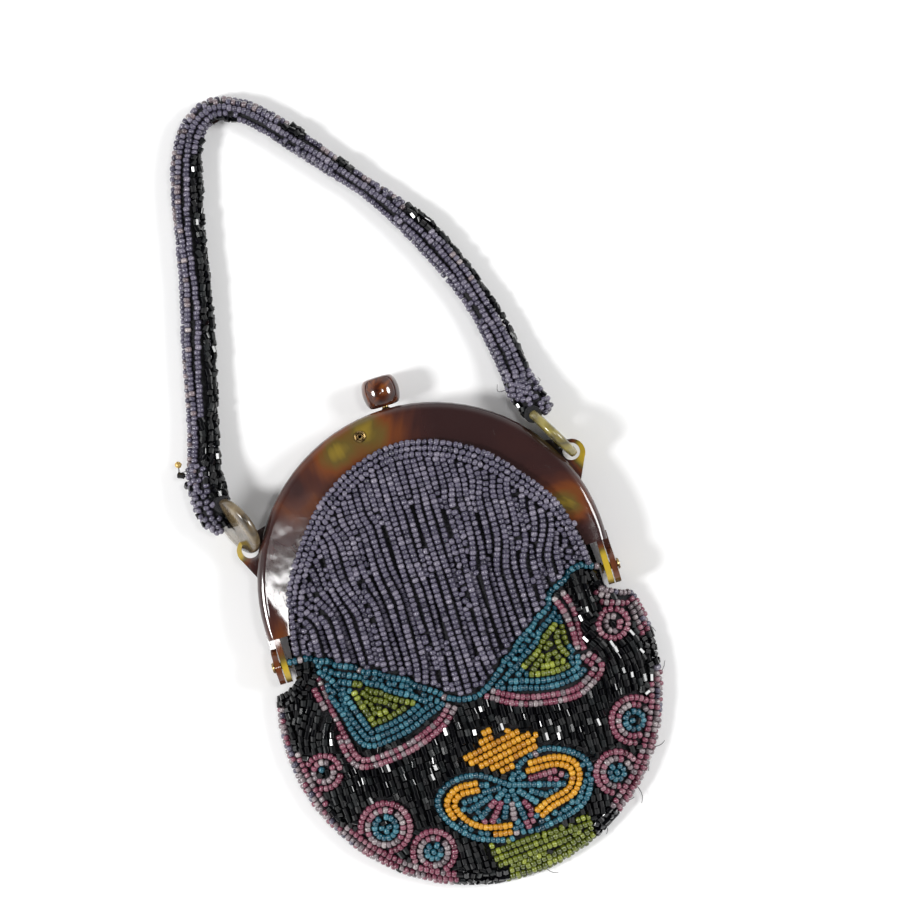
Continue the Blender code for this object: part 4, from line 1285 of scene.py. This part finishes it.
def sew_columns(pitch, kind_wanted):
    """Upright columns of ground beads, a fixed distance apart along the cloth."""
    for number in range(-40, 41):
        line_x = np.array([np.interp(number * pitch, run, across_x) for run in across_run])
        y = 38.0 - dice.uniform(0, 1.0)
        while y > -83.0:
            x = float(np.interp(y, levels_y, line_x)) + 0.12 * math.sin(y / 5.0 + number * 1.7)
            if abs(x) > 51 or not inside(front_outline, x, y) or ground_kind(x, y) != kind_wanted:
                y -= 0.3
                continue
            lean = (float(np.interp(y - 1, levels_y, line_x)) - float(np.interp(y + 1, levels_y, line_x))) / -2
            length = dice.uniform(0.72, 1.03) if kind_wanted == "black" else dice.uniform(0.93, 1.05)
            if lay(kind_wanted, x, y, (lean, 1.0), length=length):
                z_step = front_height(x, y - 0.5) - front_height(x, y + 0.5)
                stretch = math.sqrt(1 + z_step * z_step + lean * lean)
                pitch_ahead = (CUT_LENGTH if kind_wanted == "black" else SEED_LENGTH) * length
                y -= pitch_ahead / stretch * 0.97
            else:
                y -= 0.2


sew_columns(1.93, "lavender")
sew_columns(1.80, "black")
fill_gaps(ground_kind, -83.0, 38.0, 0.90, 0.45)

for (kind, region), beads in front_work.sewn.items():
    piece = beads.make(f"front_{kind}_beads_{region}", KINDS[kind][1], kind != "black")
    if region == "lower":
        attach(piece, "back_frame")
    else:
        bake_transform(piece)


# The seam and the back: a row of beads round the edge where front and back are sewn together, and on the back
# plain columns, lavender above and black below. It is not seen, so it is made simpler than the front.
back_work = Beadwork()
SEAM_SIZE = 0.9
BACK_SIZE = 0.94
BACK_LEVEL = 0.93              # height of the middle of the beads on the back
seam = np.vstack([front_outline, front_outline[:1]])
for point, direction, s in walk(seam, 0.25):
    x, y = point
    if y > -9.0:
        continue
    outward = np.array((direction[1], -direction[0], 0.0))
    edge = 0.05 if y < -19 else -0.3
    kind = dice.choice(("black", "black", "lavender") if y < -60 else ("clear", "lavender", "lavender"))
    stood_up = (np.array((0.0, 0.0, 1.0)) + outward * 0.35
                + np.array((*direction, 0.0)) * dice.uniform(-0.2, 0.2))
    along = stood_up if kind != "black" else np.array((*direction, 0.0))
    place = np.array((x, y, 1.55)) + outward * edge
    back_work.sew(kind, place, along, outward, "edge", SEAM_SIZE, 0.8 if kind != "black" else 0.75)

down = np.array((0.0, 0.0, -1.0))
for inset in (1.2, 3.1):
    path = offset_path(back_outline, inset, closed=True)
    for point, direction, s in walk(np.vstack([path, path[:1]]), 0.3):
        kind = "lavender" if point[1] > -34 else "black"
        back_work.sew(kind, (point[0], point[1], BACK_LEVEL), (*direction, 0.0), down, "back", BACK_SIZE,
                      length=0.9 if kind == "black" else 1.0)
inner_back = np.array(offset_path(back_outline, 3.6, closed=True))
for number in range(-27, 28):
    x0 = number * 1.92
    y = 38.0
    while y > -83.5:
        x = x0 + 0.15 * math.sin(y / 6.0 + number)
        if not inside(inner_back, x, y):
            y -= 0.4
            continue
        kind = "lavender" if y > -34 + 3 * math.sin(x / 9.0) else "black"
        length = dice.uniform(0.8, 1.0) if kind == "black" else 1.0
        tilt = dice.uniform(-0.06, 0.06)
        if back_work.sew(kind, (x, y, BACK_LEVEL), (tilt, 1.0, 0.0), down, "back", BACK_SIZE, length=length):
            y -= (CUT_LENGTH if kind == "black" else SEED_LENGTH) * length * 0.96
        else:
            y -= 0.25

for (kind, region), beads in back_work.sewn.items():
    if region == "back" and kind == "lavender":
        beads.shape = BACK_SEED
    piece = beads.make(f"{region}_{kind}_beads", KINDS[kind][1], kind != "black")
    settle(piece, "back_frame")

# Loose ends: frayed sewing thread at the bag's lower edge and at the strap's ends, one gilt bead on a broken
# thread by the left ring, and the pale stitches that hold the cloth to the front plate.
FRAYED = new_material("frayed_thread", (0.035, 0.034, 0.036), 0.8)[0]
PALE = new_material("pale_thread", (0.42, 0.36, 0.26), 0.7)[0]
GILT = new_material("gilt_bead", (0.62, 0.42, 0.14), 0.3, 0.6)[0]


def thread_piece(name, routes, radius, finish, body):
    """A few loose threads as one piece, each a thin tube that tapers to its free end."""
    points, faces = [], []
    for route in routes:
        path = smooth_path(route, 5)
        base = len(points)
        for k, middle in enumerate(path):
            ahead = unit(path[min(k + 1, len(path) - 1)] - path[max(k - 1, 0)])
            side = unit(np.cross(ahead, (0.1, 0.2, 1.0)))
            up = np.cross(side, ahead)
            thin = radius * (1.0 - 0.5 * k / len(path))
            for a in range(6):
                turn = math.pi * a / 3
                points.append(tuple(row(*(middle + (side * math.cos(turn) + up * math.sin(turn)) * thin))))
            if k:
                start = base + 6 * (k - 1)
                for a in range(6):
                    b = (a + 1) % 6
                    faces.append((start + a, start + b, start + 6 + b, start + 6 + a))
        faces.append(tuple(base + a for a in range(5, -1, -1)))
        faces.append(tuple(len(points) - 6 + a for a in range(6)))
    settle(mesh_piece(name, points, faces, finish), body)


edge_threads = []
for angle, reach, bend in ((-34, 4.5, 1.5), (-46, 5.5, -2.0), (-52, 3.0, 1.2), (-61, 3.5, -1.0),
                           (-38, 3.0, -1.4), (-84, 4.5, 1.6), (-12, 3.5, 2.0), (4, 3.0, -1.5),
                           (-100, 2.5, 1.0), (-140, 2.5, 1.2)):
    a = math.radians(angle)
    out = np.array((math.cos(a), math.sin(a), 0.0))
    across = np.array((-out[1], out[0], 0.0))
    foot = np.array((0.0, BAG_MIDDLE, 1.6)) + out * (BAG_RADIUS - 0.8)
    edge_threads.append((foot, foot + out * reach * 0.5 + across * bend * 0.3,
                         foot + out * reach * 0.85 + across * bend,
                         foot + out * reach + across * bend * 1.9))
thread_piece("frayed_edge_threads", edge_threads, 0.13, FRAYED, "back_frame")
for word, foot, ways in (("right", (38.0, 42.0, 6.0), ((-6.5, 2.5), (-4.5, 4.5), (4.6, 1.5))),
                         ("left", (-51.3, 46.0, 6.5), ((-6.0, 3.0), (-5.0, -3.5), (4.8, 4.0)))):
    routes = [[np.array(foot) + np.array((dx * share_x, dy * share_y, rise))
               for share_x, share_y, rise in ((0, 0, 0), (0.6, 0.4, 0.4), (1.05, 0.5, -1.0), (1.0, 1.3, -2.5))]
              for dx, dy in ways]
    thread_piece(f"frayed_strap_threads_{word}", routes, 0.12, FRAYED, f"{word}_ring")
gilt = Beads(SEED)
gilt.add((-57.3, 49.6, 5.6), (0.5, 0.6, 0.5), (0, 0, 1), 1.0, 0.5, 1.0)
settle(gilt.make("gilt_loose_bead", GILT), "left_ring")
loose_black = Beads(CUT)
for place, along in (((-57.4, 46.6, 5.4), (0.7, -0.3, 0.3)), ((-56.6, 43.6, 5.2), (0.3, 0.4, 0.9))):
    loose_black.add(place, along, (0.1, 0.2, 1), 1.0, 0.2, 0.8)
settle(loose_black.make("loose_black_beads", BLACK, False), "left_ring")
thread_piece("broken_thread", [((-51.5, 45.5, 6.2), (-54.6, 46.4, 6.0), (-57.2, 46.6, 5.5),
                                (-57.4, 48.4, 5.5), (-57.3, 50.4, 5.7))], 0.14, FRAYED, "left_ring")

stitches = []
for k in range(30):
    angle = math.radians(14 + 152 * k / 29)
    reach = MOUTH_REACH - 0.4
    x, rise = reach * math.cos(angle), reach * math.sin(angle)
    stitches.append([(x * share, MOUTH_MIDDLE + rise * share, z)
                     for share, z in ((0.93, 12.3), (0.985, 12.55), (1.012, 10.45))])
thread_piece("plate_stitches", stitches, 0.16, PALE, "front_frame")
